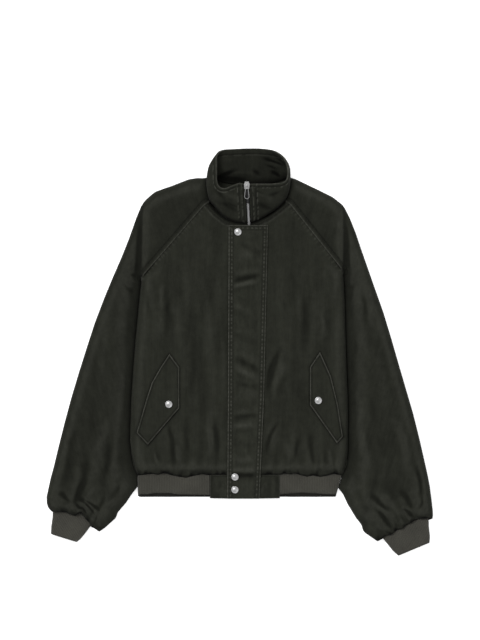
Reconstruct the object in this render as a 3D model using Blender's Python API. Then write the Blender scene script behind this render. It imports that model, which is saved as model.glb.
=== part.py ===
"""A zipped denim jacket with a stand collar, raglan sleeves, a storm flap and knit ribs, laid flat on its back.

All sizes below are millimetres: x to the right, y towards the collar, z up from the surface that it lies on.
The origin is on that surface, under the middle of the jacket's outline.
Every cloth piece is a wall: a grid of outer points worked out from the tables, and the same grid moved in by the
cloth's thickness. Neighbours share the points of their seam and stay SEAM_GAP apart.
"""
import math

import bmesh
import bpy
from mathutils import Vector

MM = 0.001

# Cloth
DENIM = 1.8
DOUBLE_DENIM = 2.4
COLLAR_LAYER = 1.5
KNIT = 2.0
SEAM_GAP = 0.3
LYING_GAP = 0.45

# How high the cloth stands, from the surface
BODY_LOFT = 22.0
NECK_RISE = 7.0
NECK_RISE_CENTRE = (17.0, 300.0)
NECK_RISE_REACH = 62.0
BODY_EDGE_ROLL = 14.0
UNDERSIDE_ROLL = 6.0
UNDERSIDE_SHELF = 14.0
UNDERSIDE_FALL = 22.0
HEM_ROLL = 13.0
HEM_HEIGHT = 13.0
HEM_RISE = 4.0
HEM_RISE_REACH = 75.0
SLEEVE_OUTER_SEAM = 9.0
SLEEVE_OUTER_ROLL = 14.0
SLEEVE_END_SEAM = 7.0
LEAST_ROLL = 6.0
STEEPEST = 0.7

# Gathers, where cloth is drawn in to the ribs
HEM_GATHERS = 8
HEM_GATHER_HEIGHT = 1.5
HEM_GATHER_REACH = 34.0
HEM_GATHER_END = 0.86
CUFF_GATHERS = 5
CUFF_GATHER_HEIGHT = 1.6
CUFF_GATHER_RINGS = 4

# Centre front: the zip runs from the hem to the top of the collar
ZIP_HEM = (14.7, -304.5)
ZIP_NECK = (18.9, 268.8)
ZIP_TOP = (14.3, 352.6)
ZIP_HALF_GAP = 4.2
TAPE_EDGE = 3.9
TAPE_SPLIT = 0.4
TAPE_DEPTH = 1.9
TAPE_THICK = 0.8
CHAIN_HALF_WIDTH = 2.9
CHAIN_END = 0.4
CHAIN_DEPTH = 0.1
CHAIN_THICK = 1.5
NECK_SAG_LEFT = 14.0
NECK_SAG_RIGHT = 7.0
NECK_SAG_FADE = (1.0, 0.6, 0.3, 0.1)

# Storm flap edges: x at the neck, at mid height and at the hem
FLAP_LEFT_X = (-23.5, -25.0, -26.7)
FLAP_RIGHT_X = (58.8, 50.4, 41.0)
FLAP_Y = (269.0, -96.6, -304.5)
FLAP_TOP_Y = 266.3

# Body, a row per section from the hem to the neck. seam_z is the height of the side seam and lift is how high the
# underside lies there on the sleeve tucked below it. Up to the underarm row the ends lie on the side seams, and
# above it on the front raglan seams.
BODY_COLUMNS = ("left_x", "left_y", "centre_y", "right_x", "right_y", "seam_z", "lift")
BODY_ROWS = (
    (-217.4, -257.2, -258.2, 217.8, -257.2, 6.5, 0.0),
    (-221.3, -245.7, -247.8, 221.8, -244.7, 8.0, 1.5),
    (-224.7, -235.2, -237.3, 224.7, -235.2, 10.0, 4.0),
    (-228.1, -212.1, -214.2, 225.8, -212.1, 13.0, 8.0),
    (-231.0, -184.8, -186.9, 226.4, -184.8, 13.0, 8.0),
    (-230.0, -142.8, -144.9, 226.8, -142.8, 13.0, 8.0),
    (-228.3, -96.6, -100.8, 226.4, -96.6, 13.0, 8.0),
    (-224.7, -42.0, -50.4, 224.1, -42.0, 13.0, 8.0),
    (-220.5, 12.6, -2.1, 222.2, 12.6, 13.0, 8.0),
    (-216.3, 58.8, 37.8, 221.1, 63.0, 13.0, 8.0),
    (-212.1, 102.9, 75.6, 219.7, 109.2, 13.0, 8.0),
    (-208.7, 134.4, 102.9, 218.2, 144.9, 11.5, 4.0),
    (-206.6, 156.7, 123.9, 216.7, 169.5, 10.0, 0.0),
    (-179.1, 188.4, 153.3, 193.4, 198.8, 10.0, 0.0),
    (-151.5, 220.0, 180.6, 170.0, 228.1, 10.0, 0.0),
    (-124.0, 251.7, 207.9, 146.7, 257.5, 10.0, 0.0),
    (-96.4, 283.3, 236.2, 123.3, 286.8, 10.0, 0.0),
    (-68.9, 315.0, 267.8, 100.0, 316.1, 10.0, 0.0),
)
UNDERARM_ROW = 12

# The back neck: where the back raglan seams meet it, and how far its edge stands above the straight line between them
BACK_NECK_LEFT = (-70.4, 345.4)
BACK_NECK_RIGHT = (104.6, 345.4)
BACK_NECK_X = (104.6, 95.2, 79.8, 46.2, 16.8, -10.5, -42.0, -59.2, -70.4)
BACK_NECK_CURVE = (0.0, 13.5, 11.9, 6.7, 5.6, 6.7, 11.9, 13.5, 0.0)

# Sleeves, a row per ring from the raglan seam to the cuff. inner is the edge towards the body and outer the far
# edge. loft is the height of the middle, strip the height of the part that lies under the body's edge, seam_z the
# height of the inner seam, and climb how far the cloth takes to rise from the strip to the loft. The first five
# rings fan out from the underarm to the lip of the fold that hangs from the shoulder, and the sixth is its trough.
SLEEVE_COLUMNS = ("inner_x", "inner_y", "outer_x", "outer_y", "loft", "strip", "seam_z", "climb")
SLEEVE_LEFT = (
    (-203.3, 161.7, -72.4, 366.9, 22.0, 22.0, 10.0, 14.0),
    (-204.1, 160.4, -107.1, 360.2, 22.0, 22.0, 10.0, 14.0),
    (-205.0, 159.2, -142.8, 346.5, 22.0, 22.0, 10.0, 14.0),
    (-205.8, 157.9, -176.4, 334.9, 22.5, 22.5, 10.0, 14.0),
    (-207.7, 157.1, -202.7, 313.9, 23.0, 23.0, 10.0, 14.0),
    (-209.4, 150.2, -207.9, 306.6, 17.0, 9.0, 4.5, 110.0),
    (-209.0, 141.8, -218.4, 281.4, 20.0, 8.0, 4.0, 80.0),
    (-209.3, 132.3, -233.1, 239.4, 21.0, 7.0, 3.5, 62.0),
    (-210.0, 119.7, -249.9, 197.4, 21.0, 7.0, 3.5, 52.0),
    (-209.6, 105.1, -268.2, 155.4, 21.0, 7.0, 3.5, 46.0),
    (-205.4, 86.2, -285.6, 113.4, 21.0, 7.0, 3.5, 44.0),
    (-206.2, 56.7, -305.6, 60.9, 21.0, 7.0, 3.5, 44.0),
    (-210.0, 16.0, -323.4, 6.0, 21.0, 7.0, 3.5, 44.0),
    (-214.2, -29.4, -339.2, -44.1, 21.0, 7.0, 3.5, 44.0),
    (-217.8, -84.0, -354.9, -96.6, 21.0, 7.0, 3.5, 44.0),
    (-219.5, -138.6, -369.6, -151.2, 21.0, 7.0, 3.5, 44.0),
    (-223.0, -184.8, -382.2, -201.6, 22.0, 7.0, 3.5, 44.0),
    (-227.4, -220.5, -391.7, -241.5, 23.0, 9.0, 4.5, 40.0),
    (-225.2, -235.2, -394.8, -252.8, 23.3, 10.0, 5.0, 36.0),
    (-218.0, -257.8, -398.2, -265.0, 23.6, 11.5, 5.5, 34.0),
    (-217.3, -283.5, -402.2, -283.5, 24.0, 13.0, 6.5, 30.0),
    (-239.4, -317.1, -406.8, -304.5, 25.0, 17.0, 8.0, 24.0),
    (-266.7, -348.6, -406.4, -317.1, 24.0, 17.0, 8.0, 20.0),
    (-287.7, -367.5, -404.2, -325.5, 20.0, 16.0, 8.0, 16.0),
    (-300.3, -373.8, -401.7, -329.7, 14.5, 14.0, 7.0, 14.0),
)
SLEEVE_RIGHT = (
    (213.4, 174.5, 108.3, 367.6, 22.0, 22.0, 10.0, 14.0),
    (214.2, 173.2, 136.5, 354.3, 22.0, 22.0, 10.0, 14.0),
    (215.0, 172.0, 168.0, 339.2, 22.0, 22.0, 10.0, 14.0),
    (215.9, 170.7, 195.3, 325.5, 22.5, 22.5, 10.0, 14.0),
    (217.8, 169.7, 215.2, 309.8, 23.0, 23.0, 10.0, 14.0),
    (219.8, 162.8, 220.5, 302.4, 17.0, 9.0, 4.5, 100.0),
    (219.0, 154.3, 231.0, 281.4, 20.0, 8.0, 4.0, 72.0),
    (218.7, 142.8, 243.6, 249.9, 21.0, 7.0, 3.5, 60.0),
    (219.2, 130.2, 254.1, 218.4, 21.0, 7.0, 3.5, 52.0),
    (219.0, 114.5, 268.8, 176.4, 21.0, 7.0, 3.5, 46.0),
    (212.5, 92.6, 283.5, 134.4, 21.0, 7.0, 3.5, 44.0),
    (212.1, 64.2, 301.4, 84.0, 21.0, 7.0, 3.5, 44.0),
    (213.2, 22.2, 319.2, 25.2, 21.0, 7.0, 3.5, 44.0),
    (214.2, -25.2, 334.9, -29.4, 21.0, 7.0, 3.5, 44.0),
    (215.9, -79.8, 349.7, -79.8, 21.0, 7.0, 3.5, 44.0),
    (216.7, -134.4, 364.4, -130.2, 21.0, 7.0, 3.5, 44.0),
    (218.2, -184.8, 378.0, -184.8, 22.0, 7.0, 3.5, 44.0),
    (226.6, -220.5, 388.5, -231.0, 23.0, 9.0, 4.5, 40.0),
    (225.3, -235.2, 391.6, -245.0, 23.3, 10.0, 5.0, 36.0),
    (219.2, -256.5, 395.4, -262.0, 23.6, 11.5, 5.5, 34.0),
    (210.4, -285.6, 399.0, -281.4, 24.0, 13.0, 6.5, 30.0),
    (225.8, -319.2, 403.2, -312.9, 25.0, 17.0, 8.0, 24.0),
    (243.6, -348.6, 405.3, -331.8, 24.0, 17.0, 8.0, 20.0),
    (266.7, -378.0, 405.9, -342.3, 20.0, 16.0, 8.0, 16.0),
    (294.6, -394.8, 405.1, -350.7, 14.5, 14.0, 7.0, 14.0),
)
LIP_RING = 4
# How far each of the first rings is drawn towards the corner where raglan seam and neck meet
NECK_PULL = (1.0, 0.6, 0.3, 0.1)
NECK_CORNER_AT = 0.75
RAGLAN_START = 5.0

# Cuffs, a row per ring from the sleeve to the open end: the inner and the outer side, and the height
CUFF_COLUMNS = ("inner_x", "inner_y", "outer_x", "outer_y", "height")
CUFF_LEFT = (
    (-300.5, -374.2, -400.9, -330.5, 14.0),
    (-320.4, -379.2, -397.4, -356.6, 13.2),
    (-342.3, -397.4, -396.9, -380.1, 12.5),
)
CUFF_RIGHT = (
    (294.9, -395.2, 404.4, -351.5, 14.0),
    (311.6, -408.4, 400.4, -375.6, 13.2),
    (333.1, -427.1, 399.0, -399.6, 12.5),
)
CUFF_RIBS = 26
RIB_HEIGHT = 0.6

# Hem band, a row per section from its seam down: where its sides and front ends lie
HEM_BAND_COLUMNS = ("front_y", "back_y", "left_x", "right_x")
HEM_BAND_ROWS = (
    (-258.8, -257.6, -216.4, 216.6),
    (-299.2, -305.0, -214.8, 203.4),
)
HEM_BAND_ENDS = {"left": -63.6, "right": 84.2}
HEM_RIBS_LEFT = 36
HEM_RIBS_RIGHT = 32
BLOCK_Y = (-259.2, -282.0, -305.6)

# Collar, a row per upright section, from the left edge of the zip round the back to its right edge. The bulge is
# how far the middle of the collar's height stands out of the straight line from seam to rim.
COLLAR_COLUMNS = ("seam_x", "seam_y", "seam_z", "rim_x", "rim_y", "rim_z", "bulge_x", "bulge_z")
COLLAR_SECTIONS = (
    (14.7, 270.9, 28.0, 10.1, 352.2, 44.0, 0.0, 3.0),
    (-2.1, 271.7, 28.0, -1.1, 354.3, 45.0, 0.0, 4.0),
    (-19.9, 276.8, 27.0, -16.8, 349.0, 44.0, 0.0, 5.0),
    (-36.8, 286.9, 26.0, -30.5, 343.8, 43.0, -1.0, 5.0),
    (-53.6, 305.6, 25.0, -42.4, 346.5, 41.0, -3.0, 5.0),
    (-64.7, 320.2, 23.0, -48.3, 358.1, 38.0, -7.0, 4.0),
    (-67.9, 340.2, 18.0, -49.1, 378.0, 33.0, -9.5, 2.0),
    (-67.2, 357.0, 11.0, -49.6, 399.0, 26.0, -9.5, 1.0),
    (-61.0, 364.6, 4.0, -49.1, 416.9, 17.0, -9.0, 0.0),
    (-42.0, 358.0, 0.0, -37.8, 425.0, 8.0, -3.0, -4.0),
    (-10.5, 352.8, 0.0, -12.6, 427.1, 4.0, 0.0, -2.0),
    (16.8, 351.7, 0.0, 16.8, 428.4, 3.0, 0.0, -1.5),
    (46.2, 352.8, 0.0, 46.2, 427.8, 4.0, 0.0, -2.0),
    (79.8, 358.0, 0.0, 73.5, 423.2, 8.0, 3.0, -4.0),
    (97.0, 364.6, 4.0, 92.4, 410.6, 16.0, 8.0, 0.0),
    (103.6, 356.0, 11.0, 100.8, 393.8, 24.0, 4.0, 1.0),
    (103.4, 340.2, 18.0, 102.5, 375.9, 31.0, 2.0, 2.0),
    (97.0, 323.0, 23.0, 98.7, 362.2, 37.0, 2.0, 4.0),
    (84.0, 307.2, 25.0, 88.2, 355.5, 41.0, 1.0, 5.0),
    (67.2, 294.4, 26.0, 71.4, 353.2, 43.0, 1.0, 5.0),
    (50.4, 283.9, 27.0, 54.6, 352.8, 44.0, 0.0, 5.0),
    (35.7, 276.4, 28.0, 36.8, 352.8, 45.0, 0.0, 4.0),
    (23.1, 271.7, 28.0, 18.5, 352.6, 45.0, 0.0, 3.0),
)
COLLAR_STEPS = 4

# Largest soft folds of the upper cloth: two ends, half width, and height (a trough where it is below zero)
FOLD_COLUMNS = ("x0", "y0", "x1", "y1", "half_width", "height")
FOLDS = (
    (-101.0, 110.0, -96.0, -110.0, 15.0, -2.2),
    (-132.0, 120.0, -128.0, 20.0, 15.0, 1.8),
    (-62.0, -100.0, -56.0, -240.0, 14.0, 2.2),
    (-166.0, 90.0, -170.0, 10.0, 14.0, 1.6),
    (-112.0, -150.0, -106.0, -235.0, 13.0, -1.8),
    (-60.0, 120.0, -66.0, -30.0, 16.0, 1.4),
    (80.0, 10.0, 60.0, -80.0, 14.0, -2.2),
    (86.0, -140.0, 64.0, -205.0, 14.0, 2.0),
    (126.0, 150.0, 122.0, -120.0, 16.0, -2.0),
    (166.0, 130.0, 172.0, 20.0, 15.0, 1.6),
    (120.0, -150.0, 116.0, -235.0, 13.0, 1.8),
    (-290.0, -150.0, -318.0, -300.0, 16.0, 2.4),
    (-345.0, -180.0, -372.0, -300.0, 15.0, -2.4),
    (-262.0, -250.0, -340.0, -330.0, 14.0, 2.8),
    (-300.0, -310.0, -378.0, -300.0, 12.0, -3.0),
    (-250.0, 60.0, -262.0, -120.0, 17.0, -2.0),
    (266.0, 138.0, 276.0, 50.0, 13.0, 2.2),
    (270.0, -60.0, 292.0, -230.0, 16.0, -2.2),
    (330.0, -110.0, 352.0, -290.0, 16.0, 2.4),
    (262.0, -300.0, 345.0, -345.0, 14.0, 2.8),
    (300.0, -270.0, 372.0, -335.0, 13.0, -2.8),
    (258.0, 30.0, 262.0, -120.0, 15.0, -1.8),
)
FOLD_TAPER = 0.35

# Pocket flaps: corners from the upper point round the free edge, and the stud
POCKET_LEFT = (
    (-148.1, -4.2), (-127.5, -32.6), (-127.5, -117.6), (-193.6, -194.9),
    (-216.8, -169.7), (-195.3, -95.5), (-184.8, -64.0), (-167.0, -32.6),
)
POCKET_RIGHT = (
    (168.0, 0.0), (191.1, -51.5), (205.5, -110.0), (216.0, -177.5),
    (203.7, -191.7), (147.0, -111.3), (147.0, -31.5),
)
POCKET_CALM = ((-170.0, -95.0), (180.0, -95.0))
POCKET_CALM_HALF = (62.0, 130.0)
POCKET_CALM_EDGE = (0.85, 0.3)
POCKET_EDGE_ROUND = 0.7

# Press studs: radius and height of the cap, and where they sit
STUD_PROFILE = ((7.5, 0.0), (7.5, 1.3), (6.6, 2.1), (5.2, 2.0), (3.6, 2.8))
STUD_SIDES = 16
STUDS = {
    "snap_neck": (-4.2, 252.0),
    "snap_hem_upper": (-10.5, -262.6),
    "snap_hem_lower": (-10.5, -289.5),
    "snap_pocket_left": (-149.5, -109.8),
    "snap_pocket_right": (164.4, -101.9),
}

# Slider and pull
SLIDER_LENGTH = 16.0
SLIDER_WIDTHS = (12.4, 10.0)
SLIDER_NOSE = 0.64
SLIDER_DRAFT = (0.92, 0.94)
SLIDER_BELOW_TOP = 3.0
SLIDER_THICK = 2.2
SLIDER_RISE = 1.4
BAIL_STEPS = 8
BAIL_SPAN = 6.4
BAIL_WIDTH = 2.0
BAIL_SUNK = 0.5
BAIL_WIRE = 1.4
BAIL_HEIGHT = 5.8
PULL_LENGTH = 28.0
PULL_RADII = (2.3, 4.6)
PULL_WIRE = 0.7
PULL_ARC_STEPS = 7
PULL_SIDE_STEPS = 3
PULL_SIDES = 6
HINGE_GAP = 0.4

# Colours of the finished surfaces
FINISHES = {
    "denim": ((0.024, 0.026, 0.020, 1.0), 0.85, 0.0),
    "knit": ((0.052, 0.050, 0.042, 1.0), 0.95, 0.0),
    "tape": ((0.020, 0.021, 0.018, 1.0), 0.9, 0.0),
    "metal": ((0.62, 0.62, 0.60, 1.0), 0.32, 1.0),
}


def rows_of(columns, rows):
    """Table rows as dictionaries, by column name."""
    return [dict(zip(columns, row)) for row in rows]


BODY = rows_of(BODY_COLUMNS, BODY_ROWS)


def ease(t):
    """Smooth step from 0 to 1."""
    t = min(max(t, 0.0), 1.0)
    return t * t * (3.0 - 2.0 * t)


def quarter_round(t):
    """Height of a quarter circle, 0 at its foot and 1 at its top."""
    t = min(max(t, 0.0), 1.0)
    return math.sqrt(max(0.0, 1.0 - (1.0 - t) ** 2))


def mix(a, b, t):
    return a + (b - a) * t


def mix_points(a, b, t):
    return (mix(a[0], b[0], t), mix(a[1], b[1], t))


def distance(p, q):
    return math.hypot(p[0] - q[0], p[1] - q[1])


def nearest_on_line(p, a, b):
    """Distance from p to the line from a to b, and how far along it the nearest point is."""
    length2 = (b[0] - a[0]) ** 2 + (b[1] - a[1]) ** 2
    t = ((p[0] - a[0]) * (b[0] - a[0]) + (p[1] - a[1]) * (b[1] - a[1])) / length2
    t = min(max(t, 0.0), 1.0)
    return distance(p, mix_points(a, b, t)), t


def table_value(place, places, values):
    """Value at a place in a short table whose places run down."""
    for k in range(len(places) - 1):
        if place >= places[k + 1]:
            break
    t = (places[k] - place) / (places[k] - places[k + 1])
    return mix(values[k], values[k + 1], t)


def zip_x(y):
    """Middle of the zip at this y."""
    if y > ZIP_NECK[1]:
        return mix(ZIP_NECK[0], ZIP_TOP[0], (y - ZIP_NECK[1]) / (ZIP_TOP[1] - ZIP_NECK[1]))
    return mix(ZIP_HEM[0], ZIP_NECK[0], (y - ZIP_HEM[1]) / (ZIP_NECK[1] - ZIP_HEM[1]))


def side_line(side):
    """The side seam in plan, from the hem to the underarm."""
    return [(row[side + "_x"], row[side + "_y"]) for row in BODY[: UNDERARM_ROW + 1]]


SIDE_LINES = {"left": side_line("left"), "right": side_line("right")}


def side_distance(p, side):
    line = SIDE_LINES[side]
    return min(nearest_on_line(p, a, b)[0] for a, b in zip(line, line[1:]))


def fold_height(p):
    """Height that the soft folds add at p. The cloth stays calm under the pocket flaps."""
    height = 0.0
    for fold in rows_of(FOLD_COLUMNS, FOLDS):
        gap, along = nearest_on_line(p, (fold["x0"], fold["y0"]), (fold["x1"], fold["y1"]))
        if gap < 3.0 * fold["half_width"]:
            fade = ease(min(along, 1.0 - along) / FOLD_TAPER)
            height += fold["height"] * fade * math.exp(-((gap / fold["half_width"]) ** 2))
    for middle in POCKET_CALM:
        reach = max(abs(p[0] - middle[0]) / POCKET_CALM_HALF[0], abs(p[1] - middle[1]) / POCKET_CALM_HALF[1])
        height *= ease((reach - POCKET_CALM_EDGE[0]) / POCKET_CALM_EDGE[1])
    return height


def loft_height(p):
    """Height of the upper cloth away from its edges."""
    away = distance(p, NECK_RISE_CENTRE) / NECK_RISE_REACH
    return BODY_LOFT + NECK_RISE * math.exp(-away * away) + fold_height(p)


def hem_height(x):
    """Height of the upper cloth at the hem seam."""
    away = (x - ZIP_HEM[0]) / HEM_RISE_REACH
    return HEM_HEIGHT + HEM_RISE * math.exp(-away * away)


def front_height(p, side, row, along):
    """Height of a front panel at p, which is a share along of the way from the side to the zip."""
    hem_y = mix(row_end(BODY[0], side)[1], BODY[0]["centre_y"], along)
    rise = max(0.0, p[1] - hem_y)
    gather = HEM_GATHER_HEIGHT * math.sin(2.0 * math.pi * HEM_GATHERS * along) * ease(rise / HEM_ROLL)
    gather *= math.exp(-rise / HEM_GATHER_REACH) * ease(8.0 * along) * ease(6.0 * (HEM_GATHER_END - along))
    top = loft_height(p) + gather
    top = mix(hem_height(p[0]), top, quarter_round(rise / HEM_ROLL))
    return mix(row["seam_z"], top, quarter_round(side_distance(p, side) / BODY_EDGE_ROLL))


def row_end(row, side):
    return (row[side + "_x"], row[side + "_y"])


def edge_steps(width, count):
    """Distances from a rolled edge at even turns of its quarter circle."""
    return [width * (1.0 - math.cos(0.5 * math.pi * k / count)) for k in range(count + 1)]


# ---------------------------------------------------------------- walls

def corner_normals(grid, flip):
    """Normal at each point of a grid of Vectors."""
    rows, columns = len(grid), len(grid[0])
    normals = []
    for j in range(rows):
        line = []
        for i in range(columns):
            along = grid[j][min(i + 1, columns - 1)] - grid[j][max(i - 1, 0)]
            across = grid[min(j + 1, rows - 1)][i] - grid[max(j - 1, 0)][i]
            normal = along.cross(across).normalized()
            line.append(-normal if flip else normal)
        normals.append(line)
    return normals


def inner_grid(grid, thickness, flip, level=(), upright=()):
    """The grid moved in by the thickness. Points named level keep their height and move along their own row, and
    upright ones keep their place in plan, so that a seam's two sides stay parallel."""
    normals = corner_normals(grid, flip)
    facing = math.copysign(1.0, sum(n.z for line in normals for n in line))
    inner = []
    for j, line in enumerate(grid):
        moved = []
        for i, point in enumerate(line):
            if (j, i) in level:
                toward = line[i + 1] - point if i == 0 else line[i - 1] - point
                toward.z = 0.0
                moved.append(point + toward.normalized() * thickness)
            elif (j, i) in upright:
                drop = thickness / max(abs(normals[j][i].z), STEEPEST)
                moved.append(point - Vector((0.0, 0.0, facing * drop)))
            else:
                moved.append(point - normals[j][i] * thickness)
        inner.append(moved)
    return inner


def build_wall(name, outer, inner, finish, flip):
    """One closed body between two grids of the same shape."""
    rows, columns = len(outer), len(outer[0])
    bm = bmesh.new()
    out = [[bm.verts.new(p * MM) for p in line] for line in outer]
    back = [[bm.verts.new(p * MM) for p in line] for line in inner]
    for j in range(rows - 1):
        for i in range(columns - 1):
            a, b, c, d = out[j][i], out[j][i + 1], out[j + 1][i + 1], out[j + 1][i]
            bm.faces.new((a, b, c))
            bm.faces.new((a, c, d))
            a, b, c, d = back[j][i], back[j][i + 1], back[j + 1][i + 1], back[j + 1][i]
            bm.faces.new((a, c, b))
            bm.faces.new((a, d, c))
    ring_out = out[0][:-1] + [line[-1] for line in out[:-1]] + out[-1][:0:-1] + [line[0] for line in out[:0:-1]]
    ring_back = back[0][:-1] + [line[-1] for line in back[:-1]] + back[-1][:0:-1] + [line[0] for line in back[:0:-1]]
    for k, (a, b) in enumerate(zip(ring_out, ring_back)):
        c = ring_back[(k + 1) % len(ring_back)]
        d = ring_out[(k + 1) % len(ring_out)]
        bm.faces.new((a, b, c, d))
    if flip:
        bmesh.ops.reverse_faces(bm, faces=bm.faces)
    return add_object(name, bm, finish)


def finish_material(finish):
    material = bpy.data.materials.get(finish)
    if material is None:
        colour, roughness, metallic = FINISHES[finish]
        material = bpy.data.materials.new(finish)
        material.use_nodes = True
        shader = material.node_tree.nodes["Principled BSDF"]
        shader.inputs["Base Color"].default_value = colour
        shader.inputs["Roughness"].default_value = roughness
        shader.inputs["Metallic"].default_value = metallic
    return material


def add_object(name, bm, finish, smooth=True):
    mesh = bpy.data.meshes.new(name)
    bm.to_mesh(mesh)
    bm.free()
    if smooth:
        mesh.shade_smooth()
        mesh.set_sharp_from_angle(angle=math.radians(40.0))
    piece = bpy.data.objects.new(name, mesh)
    bpy.context.collection.objects.link(piece)
    mesh.materials.append(finish_material(finish))
    return piece


# ---------------------------------------------------------------- body

FRONT_STEPS = 15
FLAP_STEPS = 2


def flap_edge_x(y, side):
    return table_value(y, FLAP_Y, FLAP_LEFT_X if side == "left" else FLAP_RIGHT_X)


def front_grid(side):
    """Outer points of a front panel: rows from hem to neck, columns from the side to the zip. The last FLAP_STEPS
    columns lie under the storm flap."""
    grid = []
    for j, row in enumerate(BODY):
        start = row_end(row, side)
        hand = -1.0 if side == "left" else 1.0
        stop = (zip_x(row["centre_y"]) + hand * ZIP_HALF_GAP, row["centre_y"])
        length = distance(start, stop)
        flap = (start[0] - flap_edge_x(stop[1], side)) / (start[0] - stop[0])
        steps = [d / length for d in edge_steps(BODY_EDGE_ROLL, 3)]
        steps += [mix(steps[3], flap, k / FRONT_STEPS) for k in range(1, FRONT_STEPS + 1)]
        steps += [mix(flap, 1.0, k / FLAP_STEPS) for k in range(1, FLAP_STEPS + 1)]
        sag_fade = NECK_SAG_FADE[len(BODY) - 1 - j] if len(BODY) - 1 - j < len(NECK_SAG_FADE) else 0.0
        sag = sag_fade * (NECK_SAG_LEFT if side == "left" else NECK_SAG_RIGHT)
        line = []
        for along in steps:
            x, y = mix_points(start, stop, along)
            y -= sag * math.sin(math.pi * along)
            line.append(Vector((x, y, front_height((x, y), side, row, along))))
        line[0].z += 0.5 * SEAM_GAP if j <= UNDERARM_ROW else 0.0
        grid.append(line)
    return grid


def side_seam_points(rows, columns):
    """Grid places on the side seam, and on every other edge."""
    level = {(j, 0) for j in range(UNDERARM_ROW + 1)}
    upright = {(0, i) for i in range(1, columns)} | {(rows - 1, i) for i in range(columns)}
    upright |= {(j, columns - 1) for j in range(rows)} | {(j, 0) for j in range(UNDERARM_ROW + 1, rows)}
    return level, upright


def make_front(side):
    grid = front_grid(side)
    level, upright = side_seam_points(len(grid), len(grid[0]))
    flip = side == "right"
    inner = inner_grid(grid, DENIM, flip, level, upright)
    build_wall("front_" + side, grid, inner, "denim", flip)
    return grid


def under_height(away, seam_z, lift):
    """Height of the underside at a distance from the side seam."""
    if away < UNDERSIDE_ROLL:
        return seam_z - (seam_z - lift) * quarter_round(away / UNDERSIDE_ROLL)
    return lift * (1.0 - ease((away - UNDERSIDE_SHELF) / UNDERSIDE_FALL))


def make_back():
    """The back panel: its outer side is the one that it lies on."""
    roll = edge_steps(UNDERSIDE_ROLL, 2) + [UNDERSIDE_SHELF, UNDERSIDE_SHELF + 0.5 * UNDERSIDE_FALL,
                                            UNDERSIDE_SHELF + UNDERSIDE_FALL]
    middle = 5
    top = len(BODY) - 1
    underarm_left = row_end(BODY[UNDERARM_ROW], "left")
    underarm_right = row_end(BODY[UNDERARM_ROW], "right")
    grid = []
    for j, row in enumerate(BODY):
        start, stop = row_end(row, "left"), row_end(row, "right")
        if j > UNDERARM_ROW:
            climb = (j - UNDERARM_ROW) / (top - UNDERARM_ROW)
            start = mix_points(underarm_left, BACK_NECK_LEFT, climb)
            stop = mix_points(underarm_right, BACK_NECK_RIGHT, climb)
        length = distance(start, stop)
        steps = [d / length for d in roll]
        steps += [mix(roll[-1] / length, 1.0 - roll[-1] / length, k / middle) for k in range(1, middle)]
        steps += [1.0 - d / length for d in reversed(roll)]
        line = []
        for along in steps:
            x, y = mix_points(start, stop, along)
            if j == top:
                y += table_value(x, BACK_NECK_X, BACK_NECK_CURVE)
            side = "left" if along < 0.5 else "right"
            away = side_distance((x, y), side)
            line.append(Vector((x, y, under_height(away, row["seam_z"], row["lift"]))))
        if j <= UNDERARM_ROW:
            line[0].z -= 0.5 * SEAM_GAP
            line[-1].z -= 0.5 * SEAM_GAP
        grid.append(line)
    last = len(grid[0]) - 1
    level = {(j, i) for j in range(UNDERARM_ROW + 1) for i in (0, last)}
    upright = {(j, i) for j in (0, top) for i in range(last + 1)} - level
    upright |= {(j, i) for j in range(UNDERARM_ROW + 1, top + 1) for i in (0, last)}
    inner = inner_grid(grid, DENIM, True, level, upright)
    build_wall("back", grid, inner, "denim", True)


# ---------------------------------------------------------------- sleeves

INNER_STEPS = 7
OUTER_STEPS = 3
# The underside is flat, so that it needs only these of the points between its two rolled edges
UNDER_KEPT = (6, 9)


def shifted(p, q, away):
    """The line from p to q moved sideways, to the left of its own direction."""
    length = distance(p, q)
    dx, dy = -(q[1] - p[1]) / length * away, (q[0] - p[0]) / length * away
    return (p[0] + dx, p[1] + dy), (q[0] + dx, q[1] + dy)


def sleeve_rings(side, on_top):
    """For each ring its table row, its inner end, the corner that it passes, and its outer end."""
    table = SLEEVE_LEFT if side == "left" else SLEEVE_RIGHT
    hand = 1.0 if side == "left" else -1.0
    underarm = row_end(BODY[UNDERARM_ROW], side)
    if on_top:
        neck = row_end(BODY[-1], side)
    else:
        neck = BACK_NECK_LEFT if side == "left" else BACK_NECK_RIGHT
    seam_start, seam_end = shifted(underarm, neck, hand * SEAM_GAP)
    rings = []
    for k, row in enumerate(rows_of(SLEEVE_COLUMNS, table)):
        inner, outer = (row["inner_x"], row["inner_y"]), (row["outer_x"], row["outer_y"])
        corner = mix_points(inner, outer, NECK_CORNER_AT)
        if k == 0:
            inner = mix_points(seam_start, seam_end, RAGLAN_START / distance(seam_start, seam_end))
        if k < len(NECK_PULL):
            corner = mix_points(corner, seam_end, NECK_PULL[k])
        rings.append((row, inner, corner, outer))
    return rings


def ring_path(inner, corner, outer, inner_roll, outer_roll):
    """Points across a sleeve: its rolled inner edge, the way to the corner, and on to its rolled outer edge."""
    first, second = distance(inner, corner), distance(corner, outer)
    ways = list(inner_roll)
    ways += [mix(inner_roll[-1], first, k / INNER_STEPS) for k in range(1, INNER_STEPS + 1)]
    ways += [mix(first, first + second - outer_roll[-1], k / OUTER_STEPS) for k in range(1, OUTER_STEPS + 1)]
    ways += [first + second - d for d in reversed(outer_roll[:-1])]
    path = []
    for way in ways:
        if way <= first:
            point = mix_points(inner, corner, way / first)
        else:
            point = mix_points(corner, outer, (way - first) / second)
        path.append((point, way, first + second - way))
    return path


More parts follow.
